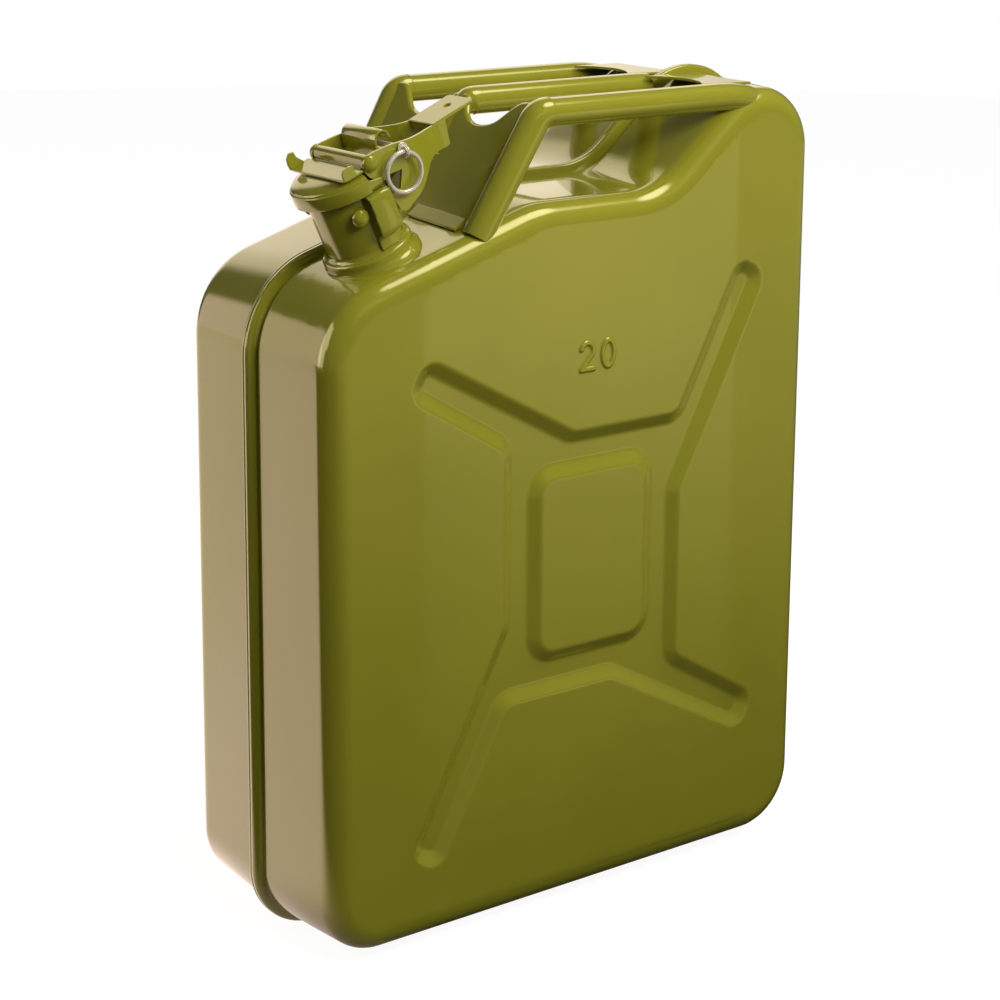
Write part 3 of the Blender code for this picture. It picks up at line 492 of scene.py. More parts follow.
flat_level = FACE - FACE_ROUND
body_levels = list(BEAD)
for level in (BEAD[-1][0] + SUPPORT / 3, flat_level - SUPPORT, flat_level):
    body_levels.append((level, DRAFT * level))
for turn in range(1, ROUND_STEPS + 1):
    round_angle = math.pi / 2 * turn / ROUND_STEPS
    body_levels.append((flat_level + FACE_ROUND * math.sin(round_angle),
                        DRAFT * flat_level + FACE_ROUND * (1.0 - math.cos(round_angle))))
for side, side_name in ((-1.0, "near"), (1.0, "far")):
    levels = [(side * y, inset) for y, inset in body_levels]
    bm, face = stacked(supported(rounded(BODY_CORNERS)), levels, keep_first=False)
    broad_face(bm, face, side)
    bmesh.ops.recalc_face_normals(bm, faces=bm.faces)
    top = max(bm.faces, key=lambda item: item.calc_center_median().z)
    if top.normal.z < 0:
        bmesh.ops.reverse_faces(bm, faces=bm.faces)
    if side < 0:
        open_for_neck(bm)
    for vert in bm.verts:
        beyond = max(0.0, abs(vert.co.x) - FACE_BEND)
        share = min(1.0, max(0.0, (abs(vert.co.y) - BEND_START) / (FACE - BEND_START)))
        vert.co.y -= side * beyond * BEND_SLOPE * share
    half = make_piece("body_half_" + side_name, bm, "can", ["half_" + side_name], enamel)
    sheet_wall(half, SHEET)

# Four shallow feet are pressed out of the bottoms of the halves, two at each end, so that the bead
# stays clear of the ground. They are drawn with slanted sides and soft edges.
FOOT_X = 0.118
FOOT_SPAN = (0.014, 0.050)
FOOT_HALF = 0.022
FOOT_DRAW = 0.004
FOOT_TOP = 0.0055
FOOT_EASE = 0.0016


def ease_edges(item, width, segments=2, degrees=35.0):
    """Round a piece's edges that turn by more than some degrees."""
    rounding = item.modifiers.new("edges", "BEVEL")
    rounding.width = width
    rounding.segments = segments
    rounding.limit_method = "ANGLE"
    rounding.angle_limit = math.radians(degrees)


for side, side_name in ((-1.0, "near"), (1.0, "far")):
    bm = bmesh.new()
    for x in (-FOOT_X, FOOT_X):
        for vert in bmesh.ops.create_cube(bm, size=1.0)["verts"]:
            drawn = FOOT_DRAW if vert.co.z < 0 else 0.0
            vert.co.x = x + math.copysign(FOOT_HALF - drawn, vert.co.x)
            vert.co.y = side * (FOOT_SPAN[0] + drawn if vert.co.y * side < 0 else FOOT_SPAN[1] - drawn)
            vert.co.z = 0.0 if vert.co.z < 0 else FOOT_TOP
    feet = make_piece("feet_" + side_name, bm, "can", [], enamel)
    ease_edges(feet, FOOT_EASE, segments=3)

# The filler neck is a short drawn tube that leans forward over the front shoulder, set in a
# collar that is brazed to the near half. Its rim is turned to carry the seal.
NECK_PROFILE = (
    (0.0215, -0.0120), (0.0215, 0.0425), (0.0213, 0.0438), (0.0208, 0.0445), (0.0203, 0.0438),
    (0.0203, -0.0120))
COLLAR_PROFILE = (
    (0.0217, 0.0092), (0.0222, 0.0076), (0.0230, 0.0066), (0.0240, 0.0062), (0.0247, 0.0056),
    (0.0250, 0.0046), (0.0250, 0.0030), (0.0253, 0.0016), (0.0262, 0.0002), (0.0276, -0.0012),
    (0.0280, -0.0040), (0.0217, -0.0040))


def turned(profile, steps=72, along="Z"):
    """Spin a chain of (radius, height) points into a closed solid round the Z or Y axis."""
    bm = bmesh.new()
    points = [bm.verts.new((radius, 0.0, height)) for radius, height in profile]
    edges = [bm.edges.new(pair) for pair in zip(points, points[1:])]
    if profile[0][0] > 0:
        edges.append(bm.edges.new((points[-1], points[0])))
    bmesh.ops.spin(bm, geom=points + edges, cent=(0, 0, 0), axis=(0, 0, 1), angle=2 * math.pi, steps=steps,
                   use_merge=True)
    bmesh.ops.remove_doubles(bm, verts=bm.verts, dist=CLOSE)
    if along == "Y":
        bmesh.ops.rotate(bm, verts=bm.verts, cent=(0, 0, 0), matrix=Matrix.Rotation(-math.pi / 2, 3, "X"))
    return bm


make_piece("filler_neck", turned(NECK_PROFILE), "can", ["neck_tube"], enamel, place=NECK_FRAME)
make_piece("neck_ring", turned(COLLAR_PROFILE), "can", ["neck_collar"], enamel, place=NECK_FRAME)

# The breather tube inside the neck, the bracket and arm of the rear hinge are plain bent and
# pressed steel, painted with the rest. The hinge pin is left as plated wire, the seal is rubber.
ZINC = (0.97, 0.88, 0.74)
ZINC_DEEP = (0.88, 0.80, 0.66)
RUBBER = (0.022, 0.022, 0.023)
RUBBER_DEEP = (0.012, 0.012, 0.012)
zinc = finish("pale_zinc", ZINC, ZINC_DEEP, pool=60.0, peel=900.0, haze=(0.22, 0.30), bump=0.10,
              metallic=0.76)
rubber = finish("seal_rubber", RUBBER, RUBBER_DEEP, pool=90.0, peel=700.0, haze=(0.55, 0.75), bump=0.20)
for node, material in (("breather_tube", enamel), ("hinge_bracket", enamel), ("cap_arm", enamel),
                       ("hinge_pin", zinc), ("cap_seal", rubber)):
    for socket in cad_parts[node].material_slots:
        socket.material = material

# The cap is a deep-drawn lid with a flat top, a rounded rim and a straight skirt. Its sides are
# flattened where the lever's cheeks pass, and a finger on each side reaches back outside the cheek.
CAP_PROFILE = (
    (0.0, 0.0526), (0.0150, 0.0526), (0.0200, 0.0522), (0.0235, 0.0513), (0.0255, 0.0503),
    (0.0262, 0.0496), (0.0263, 0.0491), (0.0268, 0.0489), (0.0272, 0.0485), (0.0273, 0.0478),
    (0.0273, 0.0419), (0.0271, 0.0412), (0.0266, 0.0410), (0.0225, 0.0410), (0.0223, 0.0446),
    (0.0245, 0.0484), (0.0, 0.0487))
CAP_STEPS = 96
FLAT_START = 0.0008
FLAT_ACROSS = 0.0216
FLAT_REACH = 0.06
FLAT_LEVELS = (0.02, 0.07)
CHEEK_INSIDE = 0.0231
CHEEK_SHEET = 0.0016
FINGER_OUTLINE = (
    (-0.0014, 0.0418), (-0.0014, 0.0478), (0.0020, 0.0474), (0.0052, 0.0464), (0.0096, 0.0456),
    (0.0104, 0.0444), (0.0096, 0.0430), (0.0040, 0.0426))
FINGER_GAP = 0.0002
FINGER_SHEET = 0.0018
FINGER_EASE = 0.0005


def carved(bm, other):
    """Return a solid with another solid taken away."""
    items = []
    for source in (bm, other):
        bmesh.ops.recalc_face_normals(source, faces=source.faces)
        mesh = bpy.data.meshes.new("blank")
        source.to_mesh(mesh)
        source.free()
        items.append(bpy.data.objects.new("blank", mesh))
        bpy.context.scene.collection.objects.link(items[-1])
    change = items[0].modifiers.new("change", "BOOLEAN")
    change.operation = "DIFFERENCE"
    change.object = items[1]
    change.solver = "EXACT"
    result = bmesh.new()
    result.from_object(items[0], bpy.context.evaluated_depsgraph_get())
    for item in items:
        bpy.data.objects.remove(item, do_unlink=True)
    return result


def block(low, high):
    """Return a block between two corners."""
    bm = bmesh.new()
    bmesh.ops.create_cube(bm, size=1.0)
    bmesh.ops.scale(bm, vec=Vector(high) - Vector(low), verts=bm.verts)
    bmesh.ops.translate(bm, vec=(Vector(high) + Vector(low)) / 2, verts=bm.verts)
    return bm


def slab(outline, low, high):
    """Return an (s, h) outline carried from low to high across."""
    return stacked(outline, [(low, 0.0), (high, 0.0)])[0]


lid = turned(CAP_PROFILE, CAP_STEPS)
for side in (-1.0, 1.0):
    near, far = sorted((side * FLAT_ACROSS, side * FLAT_REACH))
    lid = carved(lid, block((FLAT_START, near, FLAT_LEVELS[0]), (FLAT_REACH, far, FLAT_LEVELS[1])))
make_piece("cap_lid_dome", lid, "cap", ["cap_lid"], enamel, place=NECK_FRAME)
for side, side_name in ((-1.0, "near"), (1.0, "far")):
    inner = CHEEK_INSIDE + CHEEK_SHEET + FINGER_GAP
    finger = slab(FINGER_OUTLINE, side * inner, side * (inner + FINGER_SHEET))
    item = make_piece("cap_finger_" + side_name, finger, "cap", [], enamel, place=NECK_FRAME)
    ease_edges(item, FINGER_EASE, segments=3)

# The saddle is a strip bent over the cap. Its rear is rolled round the lever's pivot, and its
# front has an ear turned up at each side as a grip for the thumb.
SADDLE_HALF = 0.0228
SADDLE_FRONT = -0.0120
SADDLE_EASE = 0.0004
ROLL_CENTRE = (0.0065, 0.0548)
ROLL_RADIUS = 0.0042
ROLL_START, ROLL_SWEEP, ROLL_STEPS = 186.0, 340.0, 30
PLATE_LOW, PLATE_HIGH = 0.0531, 0.0544
WING_HALF = 0.0262
WING_REAR = 0.0006
WING_ROUND, WING_REAR_ROUND = 0.003, 0.0008
WING_ARC = math.radians(15.0)
EAR_SHEET = 0.0013
EAR_LEAN = 0.04
EAR_NEAR = (
    (-0.0122, 0.0536), (-0.0120, 0.0580), (-0.0108, 0.0598), (-0.0060, 0.0604), (-0.0040, 0.0594),
    (-0.0036, 0.0536))
EAR_FAR = (
    (-0.0122, 0.0536), (-0.0126, 0.0570), (-0.0120, 0.0604), (-0.0096, 0.0626), (-0.0066, 0.0622),
    (-0.0060, 0.0588), (-0.0040, 0.0560), (-0.0020, 0.0536))


def laid_flat(bm):
    """Turn an upright slab to lie level, and return it."""
    for vert in bm.verts:
        vert.co = (vert.co.x, vert.co.z, vert.co.y)
    return bm


saddle_edge = [(SADDLE_FRONT / 2, PLATE_LOW), (SADDLE_FRONT / 2, PLATE_HIGH)]
for index in range(ROLL_STEPS + 1):
    angle = math.radians(ROLL_START - ROLL_SWEEP * index / ROLL_STEPS)
    saddle_edge.append((ROLL_CENTRE[0] + ROLL_RADIUS * math.cos(angle),
                        ROLL_CENTRE[1] + ROLL_RADIUS * math.sin(angle)))
saddle = slab(saddle_edge, -SADDLE_HALF, SADDLE_HALF)
item = make_piece("saddle_roll", saddle, "cap", ["saddle_plate"], enamel, place=NECK_FRAME)
ease_edges(item, SADDLE_EASE)
wing_outline = rounded([(SADDLE_FRONT, -WING_HALF, WING_ROUND), (SADDLE_FRONT, WING_HALF, WING_ROUND),
                        (WING_REAR, WING_HALF, WING_REAR_ROUND), (WING_REAR, -WING_HALF, WING_REAR_ROUND)],
                       WING_ARC)
wing = laid_flat(slab(wing_outline, PLATE_LOW, PLATE_HIGH))
item = make_piece("saddle_wing", wing, "cap", [], enamel, place=NECK_FRAME)
ease_edges(item, SADDLE_EASE)
for outline, side, side_name in ((EAR_NEAR, -1.0, "near"), (EAR_FAR, 1.0, "far")):
    ear = slab(outline, side * (WING_HALF - EAR_SHEET), side * WING_HALF)
    for vert in ear.verts:
        vert.co.y += side * max(0.0, vert.co.z - PLATE_HIGH) * EAR_LEAN
    item = make_piece("saddle_ear_" + side_name, ear, "cap", [], enamel, place=NECK_FRAME)
    ease_edges(item, SADDLE_EASE)

# The lever's pivot is a steel pin with a domed rivet head closed over each cheek. It is painted
# with the cap that it rides on.
HEAD_RADIUS = 0.0047
HEAD_RISE = 0.0031
HEAD_GAP = 0.0001
DOME_STEPS = 9
PIVOT_RADIUS = 0.0024


def dome(radius, face, rise):
    """Return the (radius, height) points of a domed head, from its rim to its crown."""
    angles = [math.pi / 2 * index / DOME_STEPS for index in range(DOME_STEPS)]
    points = [(radius * math.cos(angle), face + rise * math.sin(angle)) for angle in angles]
    return points + [(0.0, face + rise)]


head_face = CHEEK_INSIDE + CHEEK_SHEET + HEAD_GAP
head = dome(HEAD_RADIUS, head_face, HEAD_RISE)
pivot_profile = head[::-1] + [(PIVOT_RADIUS, head_face), (PIVOT_RADIUS, -head_face)]
pivot_profile += [(radius, -height) for radius, height in head]
make_piece("pivot_rivet", turned(pivot_profile, 40, "Y"), "cap", ["pivot_pin"], enamel,
           place=NECK_FRAME @ Matrix.Translation((ROLL_CENTRE[0], 0.0, ROLL_CENTRE[1])))

# The lever is one thick pressing: two cheeks that wrap the cap and close in towards the rear,
# joined there by a flat thumb tab with a hole for a seal wire. The tab's root is folded down.
CHEEK_OUTLINE = (
    (0.0014, 0.0545), (0.0022, 0.0572), (0.0046, 0.0589), (0.0075, 0.0593), (0.0150, 0.0586),
    (0.0230, 0.0575), (0.0310, 0.0552), (0.0393, 0.0527), (0.0460, 0.0506), (0.0530, 0.0489),
    (0.0600, 0.0479), (0.0658, 0.0473), (0.0635, 0.0340), (0.0614, 0.0332), (0.0570, 0.0340),
    (0.0525, 0.0344), (0.0480, 0.0341), (0.0438, 0.0333), (0.0370, 0.0296), (0.0307, 0.0257),
    (0.0228, 0.0226), (0.0190, 0.0210), (0.0160, 0.0211), (0.0138, 0.0230), (0.0130, 0.0270),
    (0.0115, 0.0333), (0.0185, 0.0339), (0.0231, 0.0424), (0.0147, 0.0438), (0.0116, 0.0436),
    (0.0065, 0.0454), (0.0027, 0.0485))
CHEEK_SHARP = (11, 12, 25, 26, 27)
CUT_SHARE = 0.25
CHEEK_PLAN = (
    (0.0270, 0.0231), (0.0310, 0.0228), (0.0350, 0.0216), (0.0390, 0.0196), (0.0430, 0.0172),
    (0.0470, 0.0147), (0.0510, 0.0124), (0.0550, 0.0109), (0.0590, 0.0102), (0.0630, 0.0101))
CHEEK_SLICE, CHEEK_SLICE_START, CHEEK_SLICES = 0.00125, 0.026, 32
CHEEK_EASE = 0.0004
PIN_SPOT = (0.0273, 0.0530)
PIN_HOLE = 0.0024
PIN_DRILL = 0.01
TAB_SPAN = (0.0575, 0.0870)
TAB_HALF = 0.0116
TAB_LEVELS = (0.0469, 0.0487)
TAB_ROOT_ROUND, TAB_TIP_ROUND = 0.0006, 0.0022
TAB_ARC = math.radians(18.0)
TAB_HOLE_SPOT, TAB_HOLE = 0.077, 0.0021
TAB_DRILL = (0.03, 0.06)
TAB_EASE = 0.0005
LIP_SHEET = 0.0016
LIP_LEVELS = (0.0438, 0.0484)
LIP_INSET = 0.0012
LIP_EASE = 0.0004


def softened(points, keep):
    """Cut the corners of a closed outline twice, apart from those kept sharp."""
    marked = [(Vector(point), index in keep) for index, point in enumerate(points)]
    for _ in range(2):
        cut = []
        for index, (here, sharp) in enumerate(marked):
            before, after = marked[index - 1][0], marked[(index + 1) % len(marked)][0]
            if sharp:
                cut.append((here, True))
            else:
                cut += [(here.lerp(before, CUT_SHARE), False), (here.lerp(after, CUT_SHARE), False)]
        marked = cut
    return [point for point, _ in marked]


def drill(radius, low, high, steps, along="Z"):
    """Return a round plug from low to high, to cut a hole with."""
    return turned(((0.0, low), (radius, low), (radius, high), (0.0, high)), steps, along)


def cheek_inner(s):
    """Return the half distance between the cheeks at s."""
    spots, halves = zip(*CHEEK_PLAN)
    return float(np.interp(s, spots, halves))


for side, side_name in ((-1.0, "near"), (1.0, "far")):
    cheek = slab(softened(CHEEK_OUTLINE, CHEEK_SHARP), 0.0, side * CHEEK_SHEET)
    hole = drill(PIN_HOLE, -PIN_DRILL, PIN_DRILL, 24, "Y")
    bmesh.ops.translate(hole, vec=(PIN_SPOT[0], 0.0, PIN_SPOT[1]), verts=hole.verts)
    cheek = carved(cheek, hole)
    for index in range(CHEEK_SLICES):
        geometry = cheek.verts[:] + cheek.edges[:] + cheek.faces[:]
        plane = (CHEEK_SLICE_START + index * CHEEK_SLICE, 0, 0)
        bmesh.ops.bisect_plane(cheek, geom=geometry, dist=CLOSE, plane_co=plane, plane_no=(1, 0, 0))
    for vert in cheek.verts:
        vert.co.y += side * cheek_inner(vert.co.x)
    nodes = ["lever"] if side < 0 else []
    item = make_piece("lever_cheek_" + side_name, cheek, "lever", nodes, enamel, place=NECK_FRAME)
    ease_edges(item, CHEEK_EASE, degrees=50.0)

tab_outline = rounded([(TAB_SPAN[0], -TAB_HALF, TAB_ROOT_ROUND), (TAB_SPAN[0], TAB_HALF, TAB_ROOT_ROUND),
                       (TAB_SPAN[1], TAB_HALF, TAB_TIP_ROUND), (TAB_SPAN[1], -TAB_HALF, TAB_TIP_ROUND)],
                      TAB_ARC)
hole = drill(TAB_HOLE, *TAB_DRILL, 28)
bmesh.ops.translate(hole, vec=(TAB_HOLE_SPOT, 0.0, 0.0), verts=hole.verts)
tab = carved(laid_flat(slab(tab_outline, *TAB_LEVELS)), hole)
item = make_piece("lever_tab", tab, "lever", [], enamel, place=NECK_FRAME)
ease_edges(item, TAB_EASE, segments=3, degrees=50.0)
lip = block((TAB_SPAN[0], -TAB_HALF + LIP_INSET, LIP_LEVELS[0]),
            (TAB_SPAN[0] + LIP_SHEET, TAB_HALF - LIP_INSET, LIP_LEVELS[1]))
item = make_piece("lever_tab_lip", lip, "lever", [], enamel, place=NECK_FRAME)
ease_edges(item, LIP_EASE)

# The hood is a strip arched over the safety pin. It reaches from the far cheek to well short of
# the near one, so its near end stands open.
HOOD_PATH = (
    (0.0212, 0.0508), (0.0217, 0.0530), (0.0222, 0.0555), (0.0232, 0.0582), (0.0250, 0.0600),
    (0.0274, 0.0605), (0.0297, 0.0595), (0.0312, 0.0572), (0.0317, 0.0545))
HOOD_ENDS = (-0.0098, 0.0222)
HOOD_SHEET = 0.0012
HOOD_EASE = 0.0003


def flowing(points, count=4):
    """Return a smooth chain through the points."""
    chain = []
    spots = [Vector((*point, 0.0)) for point in points]
    for index, (start, end) in enumerate(zip(spots, spots[1:])):
        before = spots[max(index - 1, 0)]
        after = spots[min(index + 2, len(spots) - 1)]
        leave, arrive = start + (end - before) / 6, end - (after - start) / 6
        chain += [Vector(knot[:2]) for knot in interpolate_bezier(start, leave, arrive, end, count + 1)[:-1]]
    return chain + [Vector(spots[-1][:2])]


def bent_sheet(path, low, high):
    """Return an open sheet bent along an (s, h) path and carried from low to high across."""
    bm = bmesh.new()
    points = [bm.verts.new((s, low, h)) for s, h in path]
    edges = [bm.edges.new(pair) for pair in zip(points, points[1:])]
    made = bmesh.ops.extrude_edge_only(bm, edges=edges)["geom"]
    new = [part for part in made if isinstance(part, bmesh.types.BMVert)]
    bmesh.ops.translate(bm, vec=(0, high - low, 0), verts=new)
    return bm


hood = make_piece("pin_arch", bent_sheet(flowing(HOOD_PATH), *HOOD_ENDS), "lever", ["pin_hood"], enamel,
                  place=NECK_FRAME)
sheet_wall(hood, HOOD_SHEET, 0.0)
ease_edges(hood, HOOD_EASE)

# The safety pin is turned zinc-plated wire with a ball at its far end and an eye at the near end.
# A split ring of springy plated wire hangs in the eye, its ends lapped side by side.
PIN_NEAR, PIN_FAR = -0.0264, 0.0272
PIN_RADIUS = 0.0015
BALL = 0.0029
BALL_TURN, BALL_STEPS = math.pi * 0.74, 10
BALL_DEPTH_SHARE = 1.85
PIN_HEAD = ((0.0027, 0.0014), (0.0030, 0.0009), (0.0030, 0.0003), (0.0026, 0.0), (0.0, 0.0))
PIN_HEAD_START = 0.0016
EYE_TURN, EYE_WIRE, EYE_STEPS = 0.0026, 0.0009, 28
RING_TURN, RING_WIRE = 0.0106, 0.0013
RING_SPOT = (0.0216, 0.0419)
RING_ACROSS = -0.0286
RING_ROUNDS, RING_STEPS = 1.12, 96
RING_SPLIT = 0.0006


def wire(points, radius, closed=False, radii=None, sides=5):
    """Return a round wire or bar along a list of points."""
    curve = bpy.data.curves.new("wire", "CURVE")
    curve.dimensions = "3D"
    curve.bevel_depth = radius
    curve.bevel_resolution = sides
    curve.use_fill_caps = True
    spline = curve.splines.new("POLY")
    spline.points.add(len(points) - 1)
    spline.use_cyclic_u = closed
    for index, (spot, point) in enumerate(zip(spline.points, points)):
        spot.co = (*point, 1.0)
        spot.radius = radii[index] if radii else 1.0
    item = bpy.data.objects.new("wire", curve)
    bpy.context.scene.collection.objects.link(item)
    mesh = bpy.data.meshes.new_from_object(item.evaluated_get(bpy.context.evaluated_depsgraph_get()))
    bpy.data.objects.remove(item, do_unlink=True)
    bm = bmesh.new()
    bm.from_mesh(mesh)
    bpy.data.meshes.remove(mesh)
    bmesh.ops.remove_doubles(bm, verts=bm.verts, dist=CLOSE)
    return bm


pin_profile = [(0.0, PIN_FAR)]
for index in range(1, BALL_STEPS + 1):
    angle = BALL_TURN * index / BALL_STEPS
    pin_profile.append((BALL * math.sin(angle), PIN_FAR - BALL * (1.0 - math.cos(angle))))
pin_profile += [(PIN_RADIUS, PIN_FAR - BALL * BALL_DEPTH_SHARE), (PIN_RADIUS, PIN_NEAR + PIN_HEAD_START)]
pin_profile += [(radius, PIN_NEAR + rise) for radius, rise in PIN_HEAD]
pin = turned(pin_profile, 32, "Y")
pin_place = NECK_FRAME @ Matrix.Translation((PIN_SPOT[0], 0.0, PIN_SPOT[1]))
make_piece("safety_pin_shank", pin, "safety_pin", ["safety_pin"], zinc, place=pin_place)
ring_way = Vector((RING_SPOT[0] - PIN_SPOT[0], 0.0, RING_SPOT[1] - PIN_SPOT[1]))
ring_reach = ring_way.length - RING_TURN
ring_way.normalize()
ring_across = Vector((-ring_way.z, 0.0, ring_way.x))
eye_spot = ring_way * ring_reach + Vector((0.0, RING_ACROSS, 0.0))
eye_points = []
for index in range(EYE_STEPS):
    angle = 2 * math.pi * index / EYE_STEPS
    eye_points.append(
        eye_spot + ring_way * (EYE_TURN * math.cos(angle)) + Vector((0.0, EYE_TURN * math.sin(angle), 0.0)))
eye = wire(eye_points, EYE_WIRE, closed=True)
make_piece("safety_pin_eye", eye, "safety_pin", [], zinc, place=pin_place)
ring_points = []
for index in range(RING_STEPS + 1):
    angle = 2 * math.pi * RING_ROUNDS * index / RING_STEPS
    lift = Vector((0.0, RING_SPLIT * (index * 2 / RING_STEPS - 1.0), 0.0))
    turn = ring_across * math.sin(angle) + ring_way * (1.0 - math.cos(angle))
    ring_points.append(eye_spot + turn * RING_TURN + lift)
ring = wire(ring_points, RING_WIRE)
make_piece("pull_ring", ring, "split_ring", ["split_ring"], zinc, place=pin_place)

# A keeper strap is bent out from each side of the neck and spot-welded to it below, and a
# ball-headed stud beside it stops the lever. All are painted with the can.
KEEPER_SPAN = (-0.0040, 0.0100)
KEEPER_PATH = (
    (0.0232, 0.0398), (0.0250, 0.0399), (0.0268, 0.0397), (0.0281, 0.0388), (0.0286, 0.0372),
    (0.0287, 0.0330), (0.0287, 0.0260), (0.0286, 0.0196), (0.0281, 0.0178), (0.0268, 0.0166),
    (0.0246, 0.0158), (0.0233, 0.0150), (0.0227, 0.0138), (0.0226, 0.0110), (0.0226, 0.0078))
KEEPER_SHEET = 0.0014
KEEPER_EASE = 0.0004
STUD_SPOT = (-0.0095, 0.0310)
STUD_RADIUS, STUD_RISE, STUD_FACE = 0.0050, 0.0037, 0.0232
SHANK_RADIUS, SHANK_ROOT = 0.0024, 0.0207
stud_profile = [(0.0, SHANK_ROOT), (SHANK_RADIUS, SHANK_ROOT), (SHANK_RADIUS, STUD_FACE)]
stud_profile += dome(STUD_RADIUS, STUD_FACE, STUD_RISE)
for side, side_name in ((-1.0, "near"), (1.0, "far")):
    strap = bent_sheet(flowing(KEEPER_PATH, 3), *KEEPER_SPAN)
    for vert in strap.verts:
        vert.co = (vert.co.y, side * vert.co.x, vert.co.z)
    item = make_piece("keeper_strap_" + side_name, strap, "can", ["keeper_" + side_name], enamel,
                      place=NECK_FRAME)
    sheet_wall(item, KEEPER_SHEET, 0.0)
    ease_edges(item, KEEPER_EASE, degrees=50.0)
    stud = turned(stud_profile, 36, "Y")
    bmesh.ops.scale(stud, vec=(1.0, side, 1.0), verts=stud.verts)
    make_piece("stop_stud_" + side_name, stud, "can", ["keeper_stud_" + side_name], enamel,
               place=NECK_FRAME @ Matrix.Translation((STUD_SPOT[0], 0.0, STUD_SPOT[1])))

# The handle is three round bars over the hollow of the top. The outer bars bend down in front
# into legs on the shoulder and sink into the hump at the rear, where the middle bar ends against it.
BAR_RADIUS = 0.0080
BAR_HEIGHT = 0.461
BAR_ACROSS = 0.066
BAR_REAR = 0.134
BAR_CORNER = Vector((-0.031, BAR_ACROSS, BAR_HEIGHT))
BAR_BEND = 0.0105
BEND_STEPS = 10
BAR_SIDES = 9
SINK_DROP, SINK_INWARD = 0.008, 0.009
SINK_SHARES = ((-0.036, 0.0), (-0.028, 0.05), (-0.020, 0.18), (-0.012, 0.38), (-0.004, 0.64), (0.006, 1.0))
LEG_RADIUS = 0.0084
LEG_FOOT = Vector((-0.0652, 0.0626, 0.4030))
LEG_EASE = 0.0006
WELD_RADIUS = 0.0007
WELD_RIPPLE, WELD_RIPPLES, WELD_STEPS = 0.0002, 7.0, 40
MIDDLE_FOOT = Vector((-0.0520, 0.0, 0.4335))
MIDDLE_CORNER = Vector((-0.0300, 0.0, BAR_HEIGHT))
MIDDLE_REAR = Vector((0.128, 0.0, BAR_HEIGHT))
MIDDLE_BEND = 0.011
MIDDLE_POINTS = 14
MIDDLE_FOOT_SHARES = (0.55, 0.72)
MIDDLE_SWELL_POINTS = 6


def bar_path(foot, corner, rear, bend):
    """Return a bar's middle line: straight from the foot, round the bend, and back to the sinking rear."""
    down = (foot - corner).normalized()
    back = Vector((1.0, 0.0, 0.0))
    turn = math.pi - down.angle(back)
    reach = bend * math.tan(turn / 2)
    start, end = corner + down * reach, corner + back * reach
    points = [foot]
    for index in range(BEND_STEPS + 1):
        share = index / BEND_STEPS
        points.append(start.lerp(corner, share).lerp(corner.lerp(end, share), share))
    inward = Vector((0.0, -math.copysign(1.0, rear.y) if rear.y else 0.0, 0.0))
    for x, share in SINK_SHARES:
        points.append(rear + Vector((x, 0.0, -SINK_DROP * share)) + inward * (SINK_INWARD * share))
    return points


leg_down = (LEG_FOOT - BAR_CORNER).normalized()
for side, side_name in ((-1.0, "near"), (1.0, "far")):
    mirror = Vector((1.0, side, 1.0))
    foot = LEG_FOOT + leg_down * BAR_RADIUS
    rear = Vector((BAR_REAR, side * BAR_ACROSS, BAR_HEIGHT))
    path = bar_path(foot * mirror, BAR_CORNER * mirror, rear, BAR_BEND)
    leg = wire(path[:BEND_STEPS + 2], LEG_RADIUS, sides=BAR_SIDES)
    item = make_piece("handle_leg_" + side_name, leg, "can", [], enamel)
    ease_edges(item, LEG_EASE, segments=3, degrees=60.0)
    rail = wire(path[BEND_STEPS + 1:], BAR_RADIUS, sides=BAR_SIDES)
    make_piece("handle_rail_" + side_name, rail, "can", ["bar_" + side_name], enamel)
    weld = []
    for index in range(WELD_STEPS):
        angle = 2 * math.pi * index / WELD_STEPS
        reach = BAR_RADIUS - WELD_RADIUS / 3
        ripple = WELD_RIPPLE * math.sin(WELD_RIPPLES * angle)
        weld.append(path[BEND_STEPS + 1] + Vector((ripple, reach * math.cos(angle), reach * math.sin(angle))))
    make_piece("handle_weld_" + side_name, wire(weld, WELD_RADIUS, closed=True), "can", [], enamel)
middle_path = bar_path(MIDDLE_FOOT, MIDDLE_CORNER, MIDDLE_REAR, MIDDLE_BEND)[:MIDDLE_POINTS]
foot_share, bend_share = MIDDLE_FOOT_SHARES
middle_sizes = [foot_share]
for index in range(MIDDLE_POINTS - 1):
    middle_sizes.append(bend_share + (1.0 - bend_share) * min(1.0, index / MIDDLE_SWELL_POINTS))
middle_bar = wire(middle_path, BAR_RADIUS, radii=middle_sizes, sides=BAR_SIDES)
make_piece("handle_rail_middle", middle_bar, "can", ["bar_middle"], enamel)

# One pressed plate joins the three bars in front. It stands on the shoulder with a turned-out
# foot, and its two scalloped gaps have curled edges that run up into the bars.
PLATE_OUTLINE = (
    (0.0612, -0.0105), (0.0645, 0.0690), (0.0600, 0.0716), (0.0540, 0.0706), (0.0475, 0.0656),
    (0.0400, 0.0582), (0.0330, 0.0551), (0.0250, 0.0543), (0.0180, 0.0558), (0.0125, 0.0599),
    (0.0085, 0.0665), (0.0070, 0.0708))
PLATE_FRONT = 0.0050
PLATE_SHEET = 0.0013
CURL = 0.0026
CURL_STEPS = 5
CURL_LIP_SHARES = (0.8, 1.1)
SHOULDER_SLOPE = math.radians(17.2)
FLANGE_START = Vector((-0.0705, 0.4038))
FLANGE_WIDE = 0.0062
FLANGE_HEEL = Vector((0.0022, 0.0028))
FLANGE_HEEL_SHARE = 1.6
FLANGE_SPAN = (0.0085, 0.0530)
FLANGE_EASE = 0.0005
plate_up = Vector((-leg_down.x, 0.0, -leg_down.z)).normalized()
plate_out = Vector((-plate_up.z, 0.0, plate_up.x))
